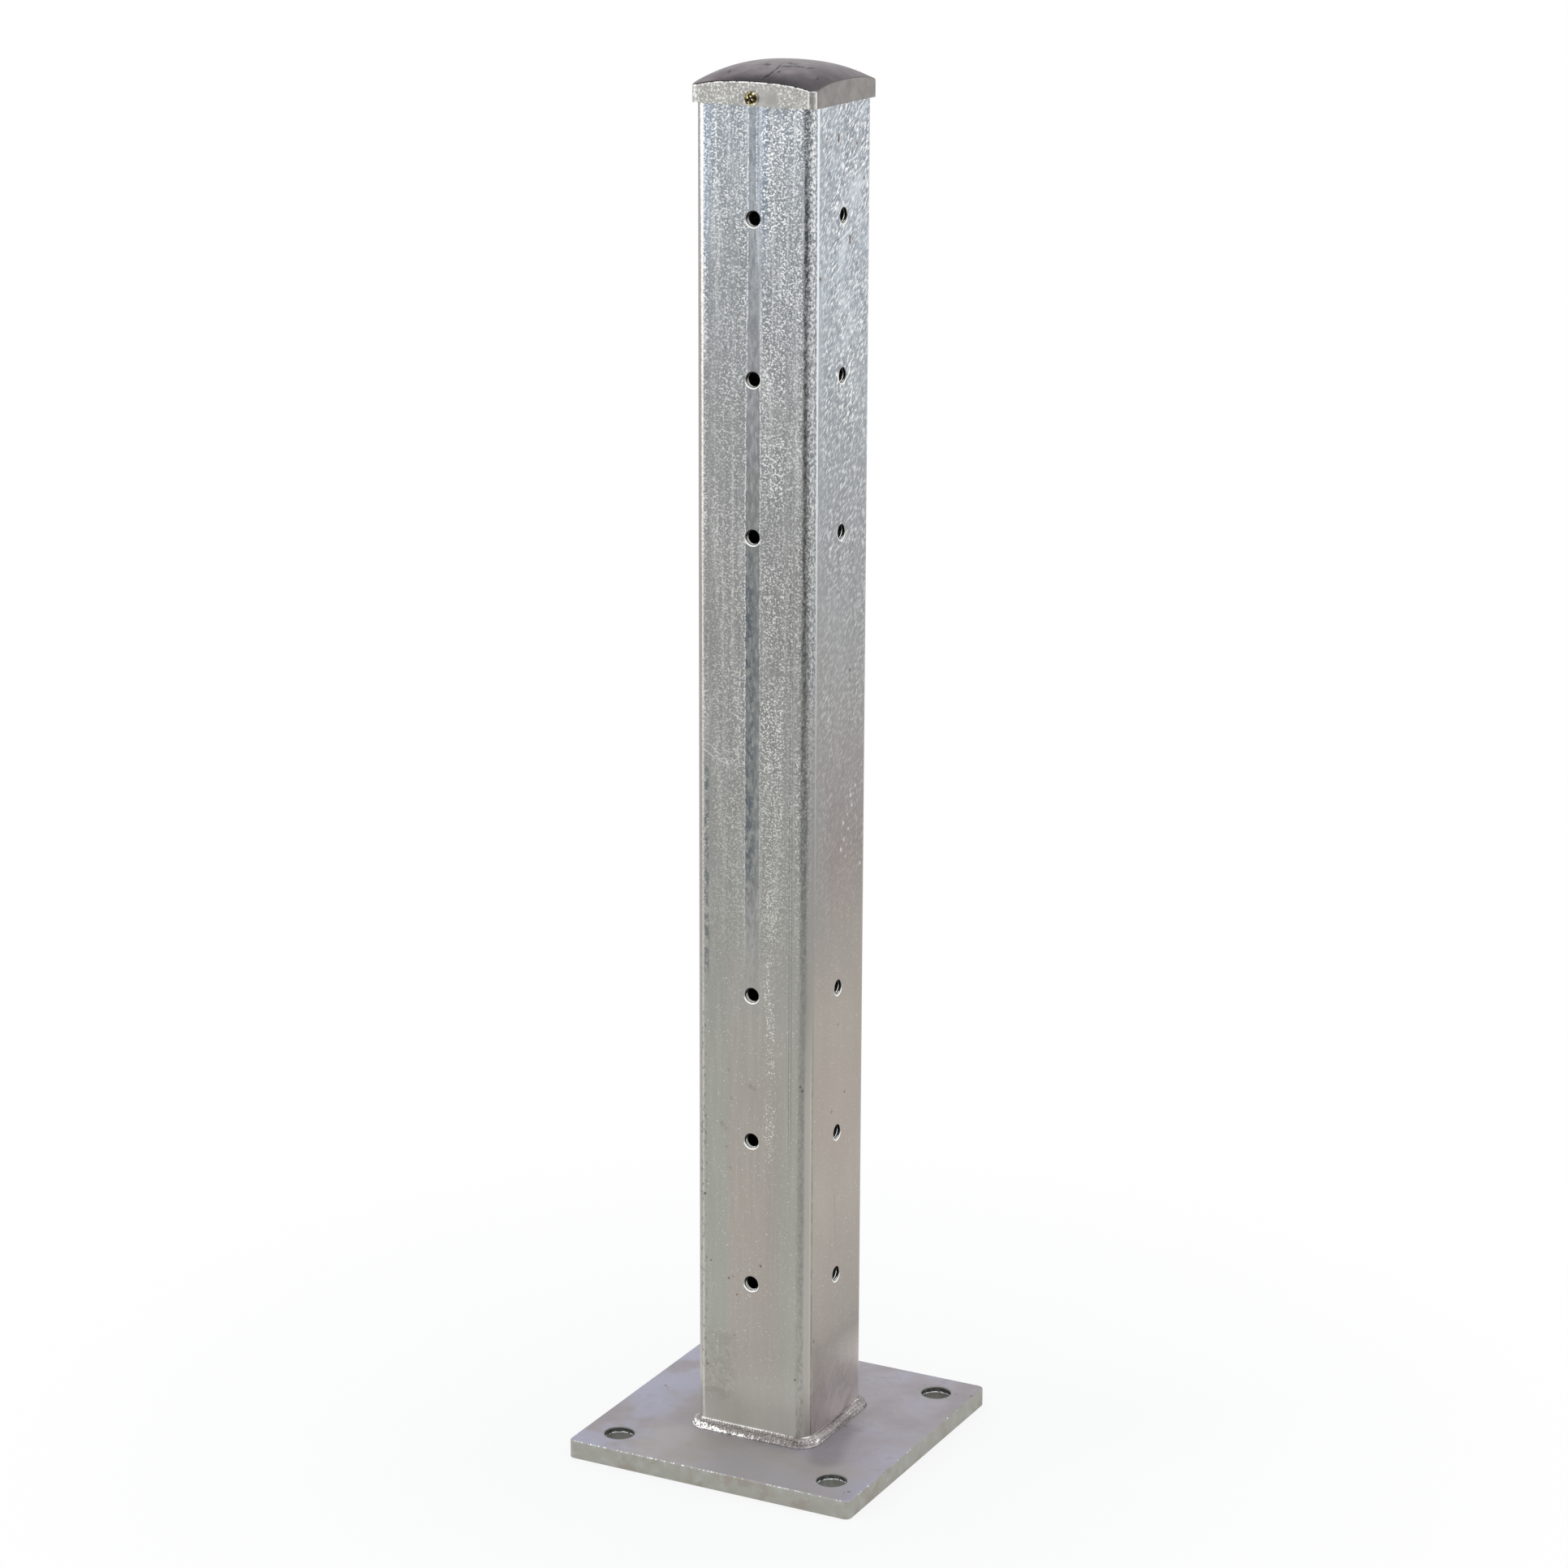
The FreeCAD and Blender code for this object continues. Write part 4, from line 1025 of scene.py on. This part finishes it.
def build_hole_lip(name, centre, material):
    """The ragged bright lip of zinc between the smooth land of an anchor hole and its torn lower wall."""
    count = 120
    sides = 8
    rings = []
    for i in range(count):
        angle = 2 * math.pi * i / count
        spoke = Vector((math.cos(angle), math.sin(angle), 0))
        rough = field.noise(spoke * 7 + centre * 40)
        fine = field.noise(spoke * 22 + centre * 40)
        thickness = (0.45 + 0.25 * rough + 0.18 * fine) * MM
        middle = centre + spoke * (ANCHOR_RADIUS + 0.15 * MM) + UP * (-LAND_DEPTH + 0.5 * rough * MM)
        ring = []
        for j in range(sides):
            around = 2 * math.pi * j / sides
            ring.append(middle + (spoke * math.cos(around) + UP * math.sin(around)) * thickness)
        rings.append(ring)
    add_piece(name, sweep(rings, closed=True), material)


def build_hole_lips(material):
    for i, (sign_x, sign_y) in enumerate(((-1, -1), (1, -1), (1, 1), (-1, 1))):
        centre = Vector((sign_x * ANCHOR_HALF_SPAN, sign_y * ANCHOR_HALF_SPAN, PLATE_TOP))
        build_hole_lip(f"anchor_lip_{i}", centre, material)


def build_camera():
    camera = bpy.data.objects.new("photo_camera", bpy.data.cameras.new("photo_camera"))
    camera.data.lens = CAMERA_LENS
    camera.data.sensor_width = CAMERA_SENSOR
    turn, rise, tilt = (math.radians(angle) for angle in (CAMERA_TURN, CAMERA_RISE, CAMERA_TILT))
    back = Vector((math.sin(turn) * math.cos(rise), -math.cos(turn) * math.cos(rise), math.sin(rise)))
    right = UP.cross(back).normalized()
    above = back.cross(right)
    tilted_right = math.cos(tilt) * right + math.sin(tilt) * above
    tilted_above = math.cos(tilt) * above - math.sin(tilt) * right
    rotation = Matrix((tilted_right, tilted_above, back)).transposed().to_4x4()
    camera.matrix_world = Matrix.Translation(CAMERA_PLACE) @ rotation
    bpy.context.scene.collection.objects.link(camera)
    bpy.context.scene.camera = camera


def dark_opening(graph, direction):
    """How far a direction points at the unlit side of the studio, 0 to 1."""
    toward = (math.sin(math.radians(DARK_SIDE_TURN)), -math.cos(math.radians(DARK_SIDE_TURN)), 0)
    return graph.step(graph.vector("DOT_PRODUCT", direction, toward), 0.78, 0.96)


def build_world():
    """A plain light level for surfaces, and a white studio for the camera and for reflections."""
    world = bpy.data.worlds.new("studio")
    bpy.context.scene.world = world
    world.use_nodes = True
    graph = Graph(world.node_tree)
    graph.tree.nodes.clear()
    paths = graph.node("LightPath").outputs
    direction = graph.node("TexCoord").outputs["Generated"]
    seen = graph.any_of(paths["Is Camera Ray"], paths["Is Glossy Ray"], paths["Is Transmission Ray"])
    level = graph.step(graph.parts(direction)[2], 0.4, 0.1)
    dark = graph.all_of(dark_opening(graph, direction), level, paths["Is Glossy Ray"], DARK_SIDE_DEPTH)
    pale_blue = (0.94, 0.97, 1.0, 1.0)
    light = graph.node_from("Background", pale_blue, 0.75)
    white = graph.node_from("Background", (1.0, 1.0, 1.0, 1.0), graph.none_of(dark))
    mixed = graph.node_from("MixShader", seen, light.outputs[0], white.outputs[0])
    graph.node_from("OutputWorld", mixed.outputs[0])


def build_floor():
    """A white floor that keeps the post's shadow near it and is plain white farther out."""
    reach = 30.0
    mesh = bpy.data.meshes.new("studio_floor")
    corners = [(-reach, -reach, 0), (reach, -reach, 0), (reach, reach, 0), (-reach, reach, 0)]
    mesh.from_pydata(corners, [], [(0, 1, 2, 3)])
    floor = bpy.data.objects.new("studio_floor", mesh)
    bpy.context.scene.collection.objects.link(floor)
    material = bpy.data.materials.new("floor_white")
    material.use_nodes = True
    graph = Graph(material.node_tree)
    graph.tree.nodes.clear()
    place = graph.node("TexCoord").outputs["Object"]
    away = graph.vector("LENGTH", place)
    paths = graph.node("LightPath").outputs
    fade = graph.scaled(graph.step(away, 0.15, 0.8), 0.2, 0.8)
    seen = graph.any_of(paths["Is Camera Ray"], paths["Is Glossy Ray"])
    opening = dark_opening(graph, graph.vector("NORMALIZE", place))
    dark = graph.all_of(opening, graph.step(away, 0.9, 2.4), paths["Is Glossy Ray"], DARK_SIDE_DEPTH)
    paint_white = graph.node_from("BsdfDiffuse", (0.9, 0.9, 0.9, 1.0))
    glow = graph.node_from("Emission", (1.0, 1.0, 1.0, 1.0), graph.none_of(dark))
    share = graph.all_of(seen, fade)
    mixed = graph.node_from("MixShader", share, paint_white.outputs[0], glow.outputs[0])
    graph.node_from("OutputMaterial", mixed.outputs[0])
    mesh.materials.append(material)


def build_lamp(name, place, aim, width, height, power, tint=(1.0, 1.0, 1.0)):
    """A soft rectangular lamp that isn't seen by the camera itself."""
    lamp = bpy.data.objects.new(name, bpy.data.lights.new(name, "AREA"))
    lamp.data.shape = "RECTANGLE"
    lamp.data.size = width
    lamp.data.size_y = height
    lamp.data.energy = power
    lamp.data.color = tint
    lamp.location = place
    lamp.rotation_euler = (Vector(aim) - Vector(place)).to_track_quat("-Z", "Y").to_euler()
    lamp.visible_camera = False
    bpy.context.scene.collection.objects.link(lamp)


def build_lamps():
    cool = (0.95, 0.98, 1.0)
    build_lamp("left_softbox", (-2.4, -1.6, 1.5), (0, 0, 0.7), width=1.0, height=1.8, power=14, tint=cool)
    build_lamp("top_softbox", (0.2, 0.4, 3.0), (0, 0, 0.6), width=1.6, height=1.6, power=16)


def main():
    random.seed(7)
    bpy.context.scene.view_settings.view_transform = "Standard"
    build_camera()
    build_world()
    build_floor()
    build_lamps()
    paint("base_plate", plate_finish())
    paint("post_tube", tube_finish())
    paint("post_cap", cap_finish())
    paint("cap_screw", screw_finish())
    thread_skin = thread_finish()
    for name, mouth, outward in rail_holes():
        build_thread(name, mouth, outward, thread_skin)
    weld_skin = weld_finish()
    for turned, side in enumerate(("front", "right", "back", "left")):
        build_weld("weld_" + side, turned, weld_skin)
    bead_skin = bead_finish()
    build_edge_beads(bead_skin)
    build_hole_lips(bead_skin)


main()
